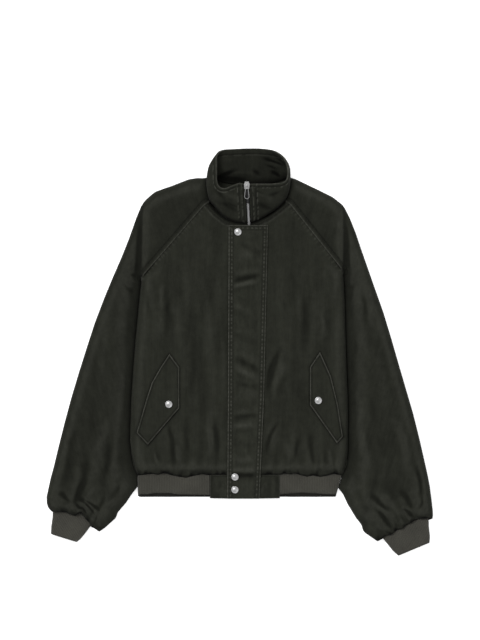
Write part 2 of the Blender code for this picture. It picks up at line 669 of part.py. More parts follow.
def sleeve_top_height(k, row, point, from_inner, from_outer, side, last):
    if k <= LIP_RING:
        away = distance(point, row_end(BODY[UNDERARM_ROW], side))
        top = row["loft"] - BODY_LOFT + loft_height(point)
        height = mix(row["seam_z"], top, quarter_round(away / BODY_EDGE_ROLL))
    else:
        roll = row["strip"] - row["seam_z"]
        height = row["seam_z"] + roll * quarter_round(from_inner / roll)
        fold = fold_height(point) * ease(2.0 * (last - k) / last + 0.3)
        climbed = ease((from_inner - roll) / row["climb"])
        height += (row["loft"] - row["strip"] + fold) * climbed
    near_cuff = k - (last - CUFF_GATHER_RINGS)
    if near_cuff > 0:
        share = from_inner / (from_inner + from_outer)
        swell = near_cuff / CUFF_GATHER_RINGS * ease(6.0 * share) * ease(6.0 * (1.0 - share))
        height += CUFF_GATHER_HEIGHT * swell * math.sin(2.0 * math.pi * CUFF_GATHERS * share)
    seam = SLEEVE_OUTER_SEAM if k < last else SLEEVE_END_SEAM
    return mix(seam, height, quarter_round(from_outer / SLEEVE_OUTER_ROLL))


def sleeve_under_height(k, row, point, from_inner, from_outer, side, last):
    if k <= LIP_RING:
        away = distance(point, row_end(BODY[UNDERARM_ROW], side))
        height = row["seam_z"] * (1.0 - quarter_round(away / UNDERSIDE_ROLL))
    else:
        height = row["seam_z"] * (1.0 - quarter_round(from_inner / row["seam_z"]))
    seam = SLEEVE_OUTER_SEAM if k < last else SLEEVE_END_SEAM
    return max(height, seam * (1.0 - quarter_round(from_outer / seam)))


def make_sleeve(side):
    for on_top in (True, False):
        rings = sleeve_rings(side, on_top)
        last = len(rings) - 1
        grid = []
        for k, (row, inner, corner, outer) in enumerate(rings):
            roll = row["strip"] - row["seam_z"]
            if on_top:
                path = ring_path(inner, corner, outer, edge_steps(max(roll, LEAST_ROLL), 2), edge_steps(SLEEVE_OUTER_ROLL, 3))
            else:
                path = ring_path(inner, corner, outer, edge_steps(row["seam_z"], 2), edge_steps(SLEEVE_OUTER_SEAM, 2))
            height = sleeve_top_height if on_top else sleeve_under_height
            line = []
            for point, from_inner, from_outer in path:
                z = height(k, row, point, from_inner, from_outer, side, last)
                line.append(Vector((point[0], point[1], z)))
            part = 0.5 * SEAM_GAP if on_top else -0.5 * SEAM_GAP
            line[0].z += part
            line[-1].z += part
            grid.append(line)
        if not on_top:
            grid = [line[:3] + [line[k] for k in UNDER_KEPT] + line[-3:] for line in grid]
        columns = len(grid[0])
        level = {(k, 0) for k in range(LIP_RING, last + 1)} | {(k, columns - 1) for k in range(last + 1)}
        upright = {(k, i) for k in (0, last) for i in range(columns)} - level
        upright |= {(k, 0) for k in range(LIP_RING)}
        flip = (side == "left") != on_top
        inner_points = inner_grid(grid, DENIM, flip, level, upright)
        name = "sleeve_" + side + ("_front" if on_top else "_back")
        build_wall(name, grid, inner_points, "denim", flip)


# ---------------------------------------------------------------- ribs

def flat_loop(inner, outer, height, top_steps, side_steps):
    """A flattened ring between two plan points: the points round it, their outward directions, and the share
    across for those on its upper side."""
    across = Vector((outer[0] - inner[0], outer[1] - inner[1], 0.0))
    width = across.length
    across.normalize()
    radius = 0.5 * height
    start = Vector((inner[0], inner[1], 0.0))
    loop = []
    for k in range(top_steps + 1):
        share = k / top_steps
        point = start + across * mix(radius, width - radius, share)
        loop.append((point + Vector((0.0, 0.0, height)), Vector((0.0, 0.0, 1.0)), share))
    for k in range(1, side_steps):
        turn = math.pi * k / side_steps
        way = across * math.sin(turn) + Vector((0.0, 0.0, math.cos(turn)))
        centre = start + across * (width - radius) + Vector((0.0, 0.0, radius))
        loop.append((centre + way * radius, way, None))
    for k in range(4):
        point = start + across * mix(width - radius, radius, k / 3)
        loop.append((point, Vector((0.0, 0.0, -1.0)), None))
    for k in range(1, side_steps):
        turn = math.pi * (1.0 - k / side_steps)
        way = across * -math.sin(turn) + Vector((0.0, 0.0, math.cos(turn)))
        centre = start + across * radius + Vector((0.0, 0.0, radius))
        loop.append((centre + way * radius, way, None))
    return loop


def make_cuff(side):
    rows = rows_of(CUFF_COLUMNS, CUFF_LEFT if side == "left" else CUFF_RIGHT)
    bm = bmesh.new()
    rings = []
    for row in rows:
        loop = flat_loop((row["inner_x"], row["inner_y"]), (row["outer_x"], row["outer_y"]), row["height"],
                         2 * CUFF_RIBS, 4)
        outer, inner = [], []
        for k, (point, way, share) in enumerate(loop):
            rib = RIB_HEIGHT if share is not None and k % 2 == 1 else 0.0
            outer.append(bm.verts.new((point - way * (RIB_HEIGHT - rib if share is not None else 0.0)) * MM))
            inner.append(bm.verts.new((point - way * (KNIT + RIB_HEIGHT)) * MM))
        rings.append((outer, inner))
    count = len(rings[0][0])
    for (out_a, in_a), (out_b, in_b) in zip(rings, rings[1:]):
        for k in range(count):
            n = (k + 1) % count
            bm.faces.new((out_a[k], out_a[n], out_b[n], out_b[k]))
            bm.faces.new((in_a[k], in_b[k], in_b[n], in_a[n]))
    for outer, inner in (rings[0], tuple(reversed(rings[-1]))):
        for k in range(count):
            n = (k + 1) % count
            bm.faces.new((outer[k], inner[k], inner[n], outer[n]))
    if side == "right":
        bmesh.ops.reverse_faces(bm, faces=bm.faces)
    add_object("cuff_" + side, bm, "knit")


def hem_band_section(row):
    """Points round the hem band at one row, from the left front end round the back to the right front end, as
    (x, z, way_x, way_z, ribbed)."""
    points = []
    for k in range(2 * HEM_RIBS_LEFT + 1):
        x = mix(HEM_BAND_ENDS["left"], row["left_x"] + 0.5 * HEM_HEIGHT, k / (2 * HEM_RIBS_LEFT))
        points.append((x, hem_height(x), 0.0, 1.0, True))
    for k in range(1, 4):
        turn = math.pi * k / 4
        radius = 0.5 * HEM_HEIGHT
        way_x, way_z = -math.sin(turn), math.cos(turn)
        points.append((row["left_x"] + radius * (1.0 + way_x), radius * (1.0 + way_z), way_x, way_z, False))
    for k in range(7):
        x = mix(row["left_x"] + 0.5 * HEM_HEIGHT, row["right_x"] - 0.5 * HEM_HEIGHT, k / 6)
        points.append((x, 0.0, 0.0, -1.0, False))
    for k in range(1, 4):
        turn = math.pi * (1.0 - k / 4)
        radius = 0.5 * HEM_HEIGHT
        way_x, way_z = math.sin(turn), math.cos(turn)
        points.append((row["right_x"] - radius * (1.0 - way_x), radius * (1.0 + way_z), way_x, way_z, False))
    for k in range(2 * HEM_RIBS_RIGHT + 1):
        x = mix(row["right_x"] - 0.5 * HEM_HEIGHT, HEM_BAND_ENDS["right"], k / (2 * HEM_RIBS_RIGHT))
        points.append((x, hem_height(x), 0.0, 1.0, True))
    return points


def make_hem_band():
    outer, inner = [], []
    for row in rows_of(HEM_BAND_COLUMNS, HEM_BAND_ROWS):
        out_line, in_line = [], []
        for k, (x, z, way_x, way_z, ribbed) in enumerate(hem_band_section(row)):
            y = mix(row["back_y"], row["front_y"], ease(z / HEM_HEIGHT))
            point, way = Vector((x, y, z)), Vector((way_x, 0.0, way_z))
            sunk = RIB_HEIGHT if ribbed and k % 2 == 0 else 0.0
            out_line.append(point - way * sunk)
            in_line.append(point - way * (KNIT + RIB_HEIGHT))
        outer.append(out_line)
        inner.append(in_line)
    build_wall("hem_rib", outer, inner, "knit", False)


def block_grid(side):
    """Outer points of a denim block at the end of the hem band: rows from its lower edge up to the seam, columns
    from the rib to the zip. The last FLAP_STEPS columns lie under the storm flap."""
    hand = -1.0 if side == "left" else 1.0
    end_x = HEM_BAND_ENDS[side] - hand * 2.0 * SEAM_GAP
    grid = []
    for y in reversed(BLOCK_Y):
        zip_edge = zip_x(y) + hand * ZIP_HALF_GAP
        flap = flap_edge_x(y, side)
        xs = [end_x, 0.5 * (end_x + flap)] + [mix(flap, zip_edge, k / FLAP_STEPS) for k in range(FLAP_STEPS + 1)]
        grid.append([Vector((x, y, hem_height(x))) for x in xs])
    return grid


def make_block(side):
    grid = block_grid(side)
    inner = [[p - Vector((0.0, 0.0, DOUBLE_DENIM)) for p in line] for line in grid]
    build_wall("hem_block_" + side, grid, inner, "denim", side == "right")
    return grid


# ---------------------------------------------------------------- collar

def collar_grid(inset):
    """Points of the collar at a depth below its outer face: rows from seam to rim, columns round the neck."""
    outer = []
    for step in range(COLLAR_STEPS + 1):
        t = step / COLLAR_STEPS
        line = []
        for s in rows_of(COLLAR_COLUMNS, COLLAR_SECTIONS):
            seam = Vector((s["seam_x"], s["seam_y"], s["seam_z"]))
            rim = Vector((s["rim_x"], s["rim_y"], s["rim_z"]))
            bulge = Vector((s["bulge_x"], 0.0, s["bulge_z"])) * (4.0 * t * (1.0 - t))
            point = seam.lerp(rim, t) + bulge
            point.z = max(point.z, 0.0)
            line.append(point)
        outer.append(line)
    normals = corner_normals(outer, True)
    for line in normals:
        for i in (0, -1):
            line[i].x = 0.0
            line[i].normalize()
    return [[p - n * inset for p, n in zip(points, ways)] for points, ways in zip(outer, normals)]


def make_collar():
    depth = COLLAR_LAYER
    build_wall("collar_outer", collar_grid(0.0), collar_grid(depth), "denim", True)
    build_wall("collar_inner", collar_grid(depth + SEAM_GAP), collar_grid(2.0 * depth + SEAM_GAP), "denim", True)


# ---------------------------------------------------------------- storm flap and pocket flaps

def under_flap(left_row, right_row):
    """The points below the storm flap in one row of the two sides, from left to right."""
    return left_row[-FLAP_STEPS - 1:] + right_row[:-FLAP_STEPS - 2:-1]


def make_storm_flap(fronts, blocks):
    """Lies on the columns of both fronts and both blocks next to the zip, LYING_GAP above them."""
    rows = []
    for left, right in (blocks, fronts):
        for left_row, right_row in zip(left[:-1], right[:-1]):
            rows.append(under_flap(left_row, right_row))
    below, above = rows[-1], under_flap(fronts[0][-1], fronts[1][-1])
    rows.append([a.lerp(b, (FLAP_TOP_Y - a.y) / (b.y - a.y)) for a, b in zip(below, above)])
    normals = corner_normals(rows, False)
    under = [[p + n * LYING_GAP for p, n in zip(line, ways)] for line, ways in zip(rows, normals)]
    over = [[p + n * (LYING_GAP + DOUBLE_DENIM) for p, n in zip(line, ways)] for line, ways in zip(rows, normals)]
    build_wall("storm_flap", over, under, "denim", False)
    return over


def make_pocket_flap(side, corners):
    floor = BODY_LOFT + LYING_GAP
    bm = bmesh.new()
    verts = [bm.verts.new(Vector((x, y, floor)) * MM) for x, y in corners]
    face = bm.faces.new(verts)
    if face.normal.z > 0.0:
        face.normal_flip()
    bm.normal_update()
    raised = bmesh.ops.extrude_face_region(bm, geom=[face])
    top = [v for v in raised["geom"] if isinstance(v, bmesh.types.BMVert)]
    bmesh.ops.translate(bm, verts=top, vec=Vector((0.0, 0.0, DOUBLE_DENIM * MM)))
    bmesh.ops.recalc_face_normals(bm, faces=bm.faces)
    top_edges = [e for e in bm.edges if all(v in top for v in e.verts)]
    bmesh.ops.bevel(bm, geom=top_edges, offset=POCKET_EDGE_ROUND * MM, segments=1, affect="EDGES")
    add_object("pocket_flap_" + side, bm, "denim")


# ---------------------------------------------------------------- zip and studs

def zip_line(fronts, blocks, collar):
    """Points down the middle of the zip on the cloth's outer face, from the hem to the collar's rim."""
    line = [a[-1].lerp(b[-1], 0.5) for a, b in zip(blocks[0][:-1], blocks[1][:-1])]
    line += [a[-1].lerp(b[-1], 0.5) for a, b in zip(fronts[0], fronts[1])]
    line += [row[0].lerp(row[-1], 0.5) for row in collar[1:]]
    return line


def strip(name, line, left, right, top, thickness, finish):
    """A strip along a line, between two distances to its side, with its upper face at a depth below the line."""
    grid, inner = [], []
    for k, point in enumerate(line):
        along = line[min(k + 1, len(line) - 1)] - line[max(k - 1, 0)]
        up = Vector((0.0, -along.z, along.y)).normalized()
        across = Vector((1.0, 0.0, 0.0))
        grid.append([point + across * left - up * top, point + across * right - up * top])
        inner.append([p - up * thickness for p in grid[-1]])
    return build_wall(name, grid, inner, finish, False)


def make_zip(fronts, blocks, collar):
    line = zip_line(fronts, blocks, collar)
    strip("zip_tape_left", line, -TAPE_EDGE, -TAPE_SPLIT, TAPE_DEPTH, TAPE_THICK, "tape")
    strip("zip_tape_right", line, TAPE_SPLIT, TAPE_EDGE, TAPE_DEPTH, TAPE_THICK, "tape")
    chain_line = line[:-1] + [line[-2].lerp(line[-1], CHAIN_END)]
    strip("zip_chain", chain_line, -CHAIN_HALF_WIDTH, CHAIN_HALF_WIDTH, CHAIN_DEPTH, CHAIN_THICK, "metal")
    return line


def turned_cap(name, centre, up):
    """A press stud's cap: its profile turned round the direction up."""
    bm = bmesh.new()
    rings = []
    for radius, height in STUD_PROFILE:
        ring = []
        for k in range(STUD_SIDES):
            turn = 2.0 * math.pi * k / STUD_SIDES
            ring.append(bm.verts.new((radius * math.cos(turn), radius * math.sin(turn), height)))
        rings.append(ring)
    bm.faces.new(reversed(rings[0]))
    bm.faces.new(rings[-1])
    for low, high in zip(rings, rings[1:]):
        for k in range(STUD_SIDES):
            n = (k + 1) % STUD_SIDES
            bm.faces.new((low[k], low[n], high[n], high[k]))
    turn = Vector((0.0, 0.0, 1.0)).rotation_difference(up).to_matrix()
    for vert in bm.verts:
        vert.co = (turn @ vert.co + centre) * MM
    add_object(name, bm, "metal")


def surface_at(grid, x, y):
    """Height and upward direction of a grid at a place in plan."""
    place = Vector((x, y, 0.0))
    for j in range(len(grid) - 1):
        for i in range(len(grid[0]) - 1):
            a, b, c, d = grid[j][i], grid[j][i + 1], grid[j + 1][i + 1], grid[j + 1][i]
            for tri in ((a, b, c), (a, c, d)):
                turn = [(tri[(k + 1) % 3] - tri[k]).cross(place - tri[k]).z for k in range(3)]
                if min(turn) < 0.0 < max(turn):
                    continue
                normal = (tri[1] - tri[0]).cross(tri[2] - tri[0]).normalized()
                if normal.z < 0.0:
                    normal.negate()
                z = tri[0].z - ((x - tri[0].x) * normal.x + (y - tri[0].y) * normal.y) / normal.z
                return z, normal


def make_studs(flap):
    for name, (x, y) in STUDS.items():
        if "pocket" in name:
            base, up = BODY_LOFT + LYING_GAP + DOUBLE_DENIM, Vector((0.0, 0.0, 1.0))
        else:
            base, up = surface_at(flap, x, y)
            for k in range(STUD_SIDES):
                turn = 2.0 * math.pi * k / STUD_SIDES
                dx, dy = STUD_PROFILE[0][0] * math.cos(turn), STUD_PROFILE[0][0] * math.sin(turn)
                edge = surface_at(flap, x + dx, y + dy)[0]
                base = max(base, edge + (dx * up.x + dy * up.y) / up.z)
        turned_cap(name, Vector((x, y, base)) + up * SEAM_GAP, up)


def make_slider(line):
    """The slider's plate and its bail, in one piece, at the top of the zip. Returns where it sits and its directions."""
    top, below = line[-1], line[-2]
    along = (top - below).normalized()
    along.x = 0.0
    along.normalize()
    up = Vector((0.0, -along.z, along.y))
    across = Vector((1.0, 0.0, 0.0))
    centre = top - along * SLIDER_BELOW_TOP + up * SLIDER_RISE

    def place(x, y, z):
        return (centre + across * x + along * y + up * z) * MM

    bm = bmesh.new()
    half, wide, slim = 0.5 * SLIDER_LENGTH, 0.5 * SLIDER_WIDTHS[0], 0.5 * SLIDER_WIDTHS[1]
    outline = ((-slim, -half), (slim, -half), (wide, 0.3 * half),
               (SLIDER_NOSE * wide, half), (-SLIDER_NOSE * wide, half), (-wide, 0.3 * half))
    lower = [bm.verts.new(place(x, y, 0.0)) for x, y in outline]
    upper = [bm.verts.new(place(SLIDER_DRAFT[0] * x, SLIDER_DRAFT[1] * y, SLIDER_THICK)) for x, y in outline]
    bm.faces.new(list(reversed(lower)))
    bm.faces.new(upper)
    for k in range(len(outline)):
        n = (k + 1) % len(outline)
        bm.faces.new((lower[k], lower[n], upper[n], upper[k]))
    plate = add_object("zip_slider", bm, "metal", smooth=False)

    bail = bmesh.new()
    sections = []
    wide, deep = 0.5 * BAIL_WIDTH, 0.5 * BAIL_WIRE
    for k in range(BAIL_STEPS + 1):
        turn = math.pi * k / BAIL_STEPS
        way_y, way_z = -math.cos(turn), math.sin(turn)
        y = 0.5 * BAIL_SPAN * way_y
        z = SLIDER_THICK - BAIL_SUNK + (BAIL_HEIGHT - SLIDER_THICK) * way_z
        sections.append([bail.verts.new(place(x, y + way_y * d, z + way_z * d))
                         for x, d in ((-wide, -deep), (wide, -deep), (wide, deep), (-wide, deep))])
    for a, b in zip(sections, sections[1:]):
        for k in range(4):
            n = (k + 1) % 4
            bail.faces.new((a[k], a[n], b[n], b[k]))
    bail.faces.new(list(reversed(sections[0])))
    bail.faces.new(sections[-1])
    bmesh.ops.recalc_face_normals(bail, faces=bail.faces)
    hoop = add_object("bail_hoop", bail, "metal", smooth=False)
    hoop.hide_render = True
    hoop.display_type = "WIRE"
    union = plate.modifiers.new("bail", "BOOLEAN")
    union.operation = "UNION"
    union.object = hoop
    return centre, along, up


def pull_outline():
    """Middle of the pull's wire, from its top, hinged end: x across and y along the zip."""
    small, large = PULL_RADII
    points = []
    for radius, y, start in ((small, -small, 0.0), (large, large - PULL_LENGTH, math.pi)):
        for k in range(PULL_ARC_STEPS + 1):
            turn = start + math.pi * k / PULL_ARC_STEPS
            points.append((radius * math.cos(turn), y + radius * math.sin(turn)))
        after = points[0] if start else (-large, large - PULL_LENGTH)
        before = points[-1]
        points += [mix_points(before, after, k / PULL_SIDE_STEPS) for k in range(1, PULL_SIDE_STEPS)]
    return points


def make_pull(centre, along, up):
    """The wire pull: a long loop that hangs from the bail towards the hem and turns about its own top wire."""
    hinge = centre + up * (SLIDER_THICK + PULL_WIRE + HINGE_GAP)
    across = Vector((1.0, 0.0, 0.0))
    outline = pull_outline()
    bm = bmesh.new()
    rings = []
    for k, (x, y) in enumerate(outline):
        before, after = outline[k - 1], outline[(k + 1) % len(outline)]
        length = distance(before, after)
        out = ((after[1] - before[1]) / length, (before[0] - after[0]) / length)
        ring = []
        for s in range(PULL_SIDES):
            turn = 2.0 * math.pi * s / PULL_SIDES
            wide, high = PULL_WIRE * math.cos(turn), PULL_WIRE * math.sin(turn)
            point = across * (x + out[0] * wide) + along * (y + out[1] * wide) + up * high
            ring.append(bm.verts.new(point * MM))
        rings.append(ring)
    for k, a in enumerate(rings):
        b = rings[(k + 1) % len(rings)]
        for s in range(PULL_SIDES):
            n = (s + 1) % PULL_SIDES
            bm.faces.new((a[s], b[s], b[n], a[n]))
    bmesh.ops.recalc_face_normals(bm, faces=bm.faces)
    pull = add_object("zip_pull", bm, "metal")
    pull.location = hinge * MM


def main():
    for thing in list(bpy.data.objects):
        bpy.data.objects.remove(thing)
    fronts = [make_front("left"), make_front("right")]
    make_back()
    make_sleeve("left")
    make_sleeve("right")
    make_cuff("left")
    make_cuff("right")
    make_hem_band()
    blocks = [make_block("left"), make_block("right")]
    make_collar()
    flap = make_storm_flap(fronts, blocks)
    make_pocket_flap("left", POCKET_LEFT)
    make_pocket_flap("right", POCKET_RIGHT)
    line = make_zip(fronts, blocks, collar_grid(0.0))
    make_studs(flap)
    centre, along, up = make_slider(line)
    make_pull(centre, along, up)


main()
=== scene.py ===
"""Looks of the denim jacket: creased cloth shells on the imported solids, sewing, zip teeth, snaps and finishes.

Plan sizes are in millimetres, as x and y on the surface that the jacket lies on. MM turns them into metres.
"""

import math

import bmesh
import bpy
import numpy as np
from mathutils import Matrix, Vector, noise
from mathutils.bvhtree import BVHTree
from mathutils.geometry import delaunay_2d_cdt

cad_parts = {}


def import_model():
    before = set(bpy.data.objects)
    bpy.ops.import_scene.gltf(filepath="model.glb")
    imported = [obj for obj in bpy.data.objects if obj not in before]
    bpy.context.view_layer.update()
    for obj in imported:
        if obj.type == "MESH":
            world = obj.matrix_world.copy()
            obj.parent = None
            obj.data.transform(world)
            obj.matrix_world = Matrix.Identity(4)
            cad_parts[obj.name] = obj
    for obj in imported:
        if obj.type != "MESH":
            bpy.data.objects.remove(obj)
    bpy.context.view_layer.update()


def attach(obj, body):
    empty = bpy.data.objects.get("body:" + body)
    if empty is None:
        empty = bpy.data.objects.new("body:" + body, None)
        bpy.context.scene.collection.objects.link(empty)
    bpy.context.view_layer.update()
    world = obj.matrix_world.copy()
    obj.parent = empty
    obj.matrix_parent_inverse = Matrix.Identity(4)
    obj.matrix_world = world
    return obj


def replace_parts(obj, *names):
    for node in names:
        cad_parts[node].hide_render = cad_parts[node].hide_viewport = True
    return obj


MM = 0.001
JACKET = "jacket"

# The photograph shows this many millimetres a pixel, and this much of the surface
PHOTO_SIZE = (480, 640)
MM_PER_PIXEL = 2.1
VIEW_CENTRE = (0.0, 67.2)
CAMERA_HEIGHT = 9.0
CLOTH_HEIGHT = 0.022

DENIM_THICK = 1.3
DOUBLE_THICK = 2.0
COLLAR_THICK = 1.3
KNIT_THICK = 2.2

# Seams: the raised band on the cloth that lies on top, the dip on the cloth below, and the pucker along them
SEAM_BAND = 9.0
SEAM_BAND_HEIGHT = 0.75
SEAM_DIP = 0.55
PUCKER_LENGTH = 10.5

# Most degrees that one side of a packed wall bends between its faces, and the rows of points along a panel's rim
PANEL_BEND = 52.0
CUFF_BEND = 80.0
RIM_ROWS = (0.9, 2.1, 3.6)


# ---------------------------------------------------------------- shader maths

class Shade:
    """A socket that takes part in Python expressions, each of which adds its Math nodes."""

    def __init__(self, recipe, socket):
        self.recipe = recipe
        self.socket = socket

    def maths(self, operation, *values):
        return self.recipe.add("ShaderNodeMath", {"operation": operation}, dict(enumerate(values)))

    def __add__(self, other):
        return self.maths("ADD", self, other)

    __radd__ = __add__

    def __mul__(self, other):
        return self.maths("MULTIPLY", self, other)

    __rmul__ = __mul__

    def __sub__(self, other):
        return self.maths("SUBTRACT", self, other)

    def __rsub__(self, other):
        return self.maths("SUBTRACT", other, self)

    def __truediv__(self, other):
        return self.maths("DIVIDE", self, other)

    def __rtruediv__(self, other):
        return self.maths("DIVIDE", other, self)

    def sine(self):
        return self.maths("SINE", self)

    def clamped(self, low, high):
        return self.maths("MINIMUM", self.maths("MAXIMUM", self, low), high)


class Recipe:
    """A procedural material while it is being put together."""

    def __init__(self, name, roughness, metallic=0.0, specular=0.5, sheen=0.0):
        self.material = bpy.data.materials.new(name)
        self.material.use_nodes = True
        self.tree = self.material.node_tree
        self.shader = self.tree.nodes["Principled BSDF"]
        self.shader.inputs["Roughness"].default_value = roughness
        self.shader.inputs["Metallic"].default_value = metallic
        self.shader.inputs["Specular IOR Level"].default_value = specular
        self.shader.inputs["Sheen Weight"].default_value = sheen
        self.shader.inputs["Sheen Roughness"].default_value = 0.5

    def add(self, kind, settings=None, inputs=None, output=0):
        node = self.tree.nodes.new(kind)
        for key, value in (settings or {}).items():
            setattr(node, key, value)
        for key, value in (inputs or {}).items():
            if isinstance(value, Shade):
                self.tree.links.new(value.socket, node.inputs[key])
            else:
                node.inputs[key].default_value = value
        return Shade(self, node.outputs[output])

    def place(self, turn=0.0, stretch=(1.0, 1.0, 1.0)):
        """Object coordinates in metres, turned about the upward axis and then stretched."""
        source = self.add("ShaderNodeTexCoord", output="Object")
        turned = self.add("ShaderNodeMapping", inputs={"Vector": source, "Rotation": (0.0, 0.0, turn)})
        return self.add("ShaderNodeMapping", inputs={"Vector": turned, "Scale": stretch})

    def noise(self, vector, scale, detail=3.0, roughness=0.55):
        inputs = {"Vector": vector, "Scale": scale, "Detail": detail, "Roughness": roughness}
        return self.add("ShaderNodeTexNoise", inputs=inputs)

    def axes(self, vector):
        return [self.add("ShaderNodeSeparateXYZ", inputs={"Vector": vector}, output=k) for k in range(3)]

    def attribute(self, name):
        return self.add("ShaderNodeAttribute", {"attribute_name": name}, output="Fac")

    def blend(self, factor, first, second):
        settings = {"data_type": "RGBA", "clamp_factor": True}
        return self.add("ShaderNodeMix", settings, {0: factor, 6: first, 7: second}, output=2)

    def feed(self, name, value):
        self.tree.links.new(value.socket, self.shader.inputs[name])

    def bump(self, height, distance, strength=1.0):
        inputs = {"Height": height, "Distance": distance, "Strength": strength}
        self.feed("Normal", self.add("ShaderNodeBump", inputs=inputs))


def grey(value, warmth=(1.0, 1.0, 1.0)):
    return (value * warmth[0], value * warmth[1], value * warmth[2], 1.0)


BLACK_DENIM = (1.0, 1.055, 0.80)
PALE_DENIM = (1.0, 1.01, 0.86)
KNIT_TONE = (1.0, 0.97, 0.80)


def denim_material(name, turn=0.0, depth=1.0):
    """Washed black twill: diagonal weave, slubby warp, streaky fading, soft bands of painted fold light and shade,
    pale marks that are worn edges and painted highlights, and painted shade.
    """
    recipe = Recipe(name, roughness=0.95, specular=0.05, sheen=0.03)
    place = recipe.place(turn)
    long_place = recipe.place(turn, (1.0, 0.09, 1.0))
    # Long soft bands along the grain, lighter and darker: painted light and shade of soft folds
    painted_fold_shading = recipe.noise(recipe.place(turn, (1.0, 0.14, 1.0)), 42.0, 2.0, 0.5)
    mottle = recipe.noise(place, 75.0, 4.0, 0.65)
    slub = recipe.noise(long_place, 900.0, 2.0, 0.5)
    streak = recipe.noise(long_place, 160.0, 3.0, 0.6)
    x, y, _ = recipe.axes(place)
    twill = ((x + y * 1.4) * (2.0 * math.pi / 0.0011)).sine()
    wear_and_highlight = recipe.attribute("wear_and_highlight")
    painted_shade = recipe.attribute("painted_shade")
    tone = (painted_fold_shading - 0.5) * 0.75 + (mottle - 0.5) * 0.7 + (slub - 0.5) * 0.4 + (streak - 0.5) * 0.5
    level = (0.5 + tone + twill * 0.05).clamped(0.0, 1.0)
    cloth = recipe.blend(level, grey(0.0106 * depth, BLACK_DENIM), grey(0.0286 * depth, BLACK_DENIM))
    # Painted shade: the cloth turns darker where the mesh's attribute marks it
    painted_shade_cloth = recipe.blend(painted_shade, cloth, grey(0.0022, BLACK_DENIM))
    # Paler cloth where the mesh marks worn edges and painted highlights
    lightening = (wear_and_highlight * (0.55 + mottle * 0.9 + slub * 0.4 - 0.35)).clamped(0.0, 1.0)
    recipe.feed("Base Color", recipe.blend(lightening, painted_shade_cloth, grey(0.085, PALE_DENIM)))
    recipe.bump(twill * 0.25 + slub * 0.7 + mottle * 1.6, 0.00035, 0.8)
    return recipe.material


def knit_material(name, turn, pitch):
    """Rib knit: columns of small loops with hollows between, greyer and hairier than the denim."""
    recipe = Recipe(name, roughness=0.95, specular=0.1, sheen=0.15)
    place = recipe.place(turn)
    x, y, _ = recipe.axes(place)
    column = (x * (2.0 * math.pi / pitch)).sine()
    loops = (y * (2.0 * math.pi / 0.0018) + column * 1.2).sine()
    fluff = recipe.noise(place, 600.0, 3.0, 0.6)
    clouds = recipe.noise(place, 30.0, 3.0, 0.5)
    # The rib columns lighter and the hollows between them darker, the loops a little too: painted light and shade of
    # the ribbing
    level = (0.5 + column * 0.13 + (fluff - 0.5) * 0.6 + (clouds - 0.5) * 0.9 + loops * 0.05).clamped(0.0, 1.0)
    painted_shade = recipe.attribute("painted_shade")
    wool = recipe.blend(level, grey(0.034, KNIT_TONE), grey(0.068, KNIT_TONE))
    # Painted shade: the knit turns darker where the mesh's attribute marks it
    recipe.feed("Base Color", recipe.blend(painted_shade, wool, grey(0.012)))
    recipe.bump(column * 0.6 + loops * 0.35 + fluff * 0.9, 0.0005, 0.8)
    return recipe.material


def metal_material(name, tone, roughness):
    recipe = Recipe(name, roughness=roughness, metallic=1.0)
    place = recipe.place()
    scuff = recipe.noise(place, 700.0, 3.0, 0.6)
    level = (scuff - 0.3).clamped(0.0, 1.0)
    recipe.feed("Base Color", recipe.blend(level, grey(tone), grey(tone * 0.72)))
    recipe.feed("Roughness", scuff * 0.25 + (roughness - 0.1))
    recipe.bump(scuff, 0.00006, 0.5)
    return recipe.material


def tape_material(name):
    recipe = Recipe(name, roughness=0.9, specular=0.2)
    place = recipe.place()
    x, y, _ = recipe.axes(place)
    rows = (y * (2.0 * math.pi / 0.0012)).sine() * (x * (2.0 * math.pi / 0.0010)).sine()
    level = (0.5 + rows * 0.4).clamped(0.0, 1.0)
    recipe.feed("Base Color", recipe.blend(level, grey(0.008), grey(0.02)))
    recipe.bump(rows, 0.0002, 0.8)
    return recipe.material


def thread_material(name, tone):
    recipe = Recipe(name, roughness=0.8, specular=0.1)
    place = recipe.place()
    fuzz = recipe.noise(place, 1500.0, 2.0, 0.5)
    recipe.feed("Base Color", recipe.blend(fuzz, grey(tone * 0.6, BLACK_DENIM), grey(tone * 1.3, BLACK_DENIM)))
    recipe.bump(fuzz, 0.0001, 0.6)
    return recipe.material


# ---------------------------------------------------------------- plan geometry

def ease(t):
    t = np.clip(t, 0.0, 1.0)
    return t * t * (3.0 - 2.0 * t)


def bell(gap, width, centre=0.0):
    """A bell curve over distances: 1 at its centre and 0.37 one width from it."""
    return np.exp(-((gap - centre) / width) ** 2)


def line_distance(points, line):
    """For plan points (n, 2): distance to a polyline, distance along it, and which side (+1 is left of it)."""
    best = np.full(len(points), 1e9)
    along = np.zeros(len(points))
    side = np.ones(len(points))
    walked = 0.0
    for a, b in zip(line, line[1:]):
        a, b = np.array(a, float), np.array(b, float)
        way = b - a
        length = float(np.hypot(*way))
        t = np.clip(((points - a) @ way) / length ** 2, 0.0, 1.0)
        gap = points - (a + t[:, None] * way)
        away = np.hypot(gap[:, 0], gap[:, 1])
        nearer = away < best
        best[nearer] = away[nearer]
        along[nearer] = (walked + t * length)[nearer]
        side[nearer] = np.sign(way[0] * gap[:, 1] - way[1] * gap[:, 0])[nearer]
        walked += length
    return best, along, side


def distance_to(points, line):
    return line_distance(points, line)[0]


def noise_field(points, size, seed):
    """Soft noise from -1 to 1 at plan points, its lumps about this size in millimetres."""
    offset = Vector((seed * 17.3, seed * 5.1, seed * 3.7))
    return np.array([noise.noise(Vector((x / size, y / size, 0.0)) + offset) for x, y in points])
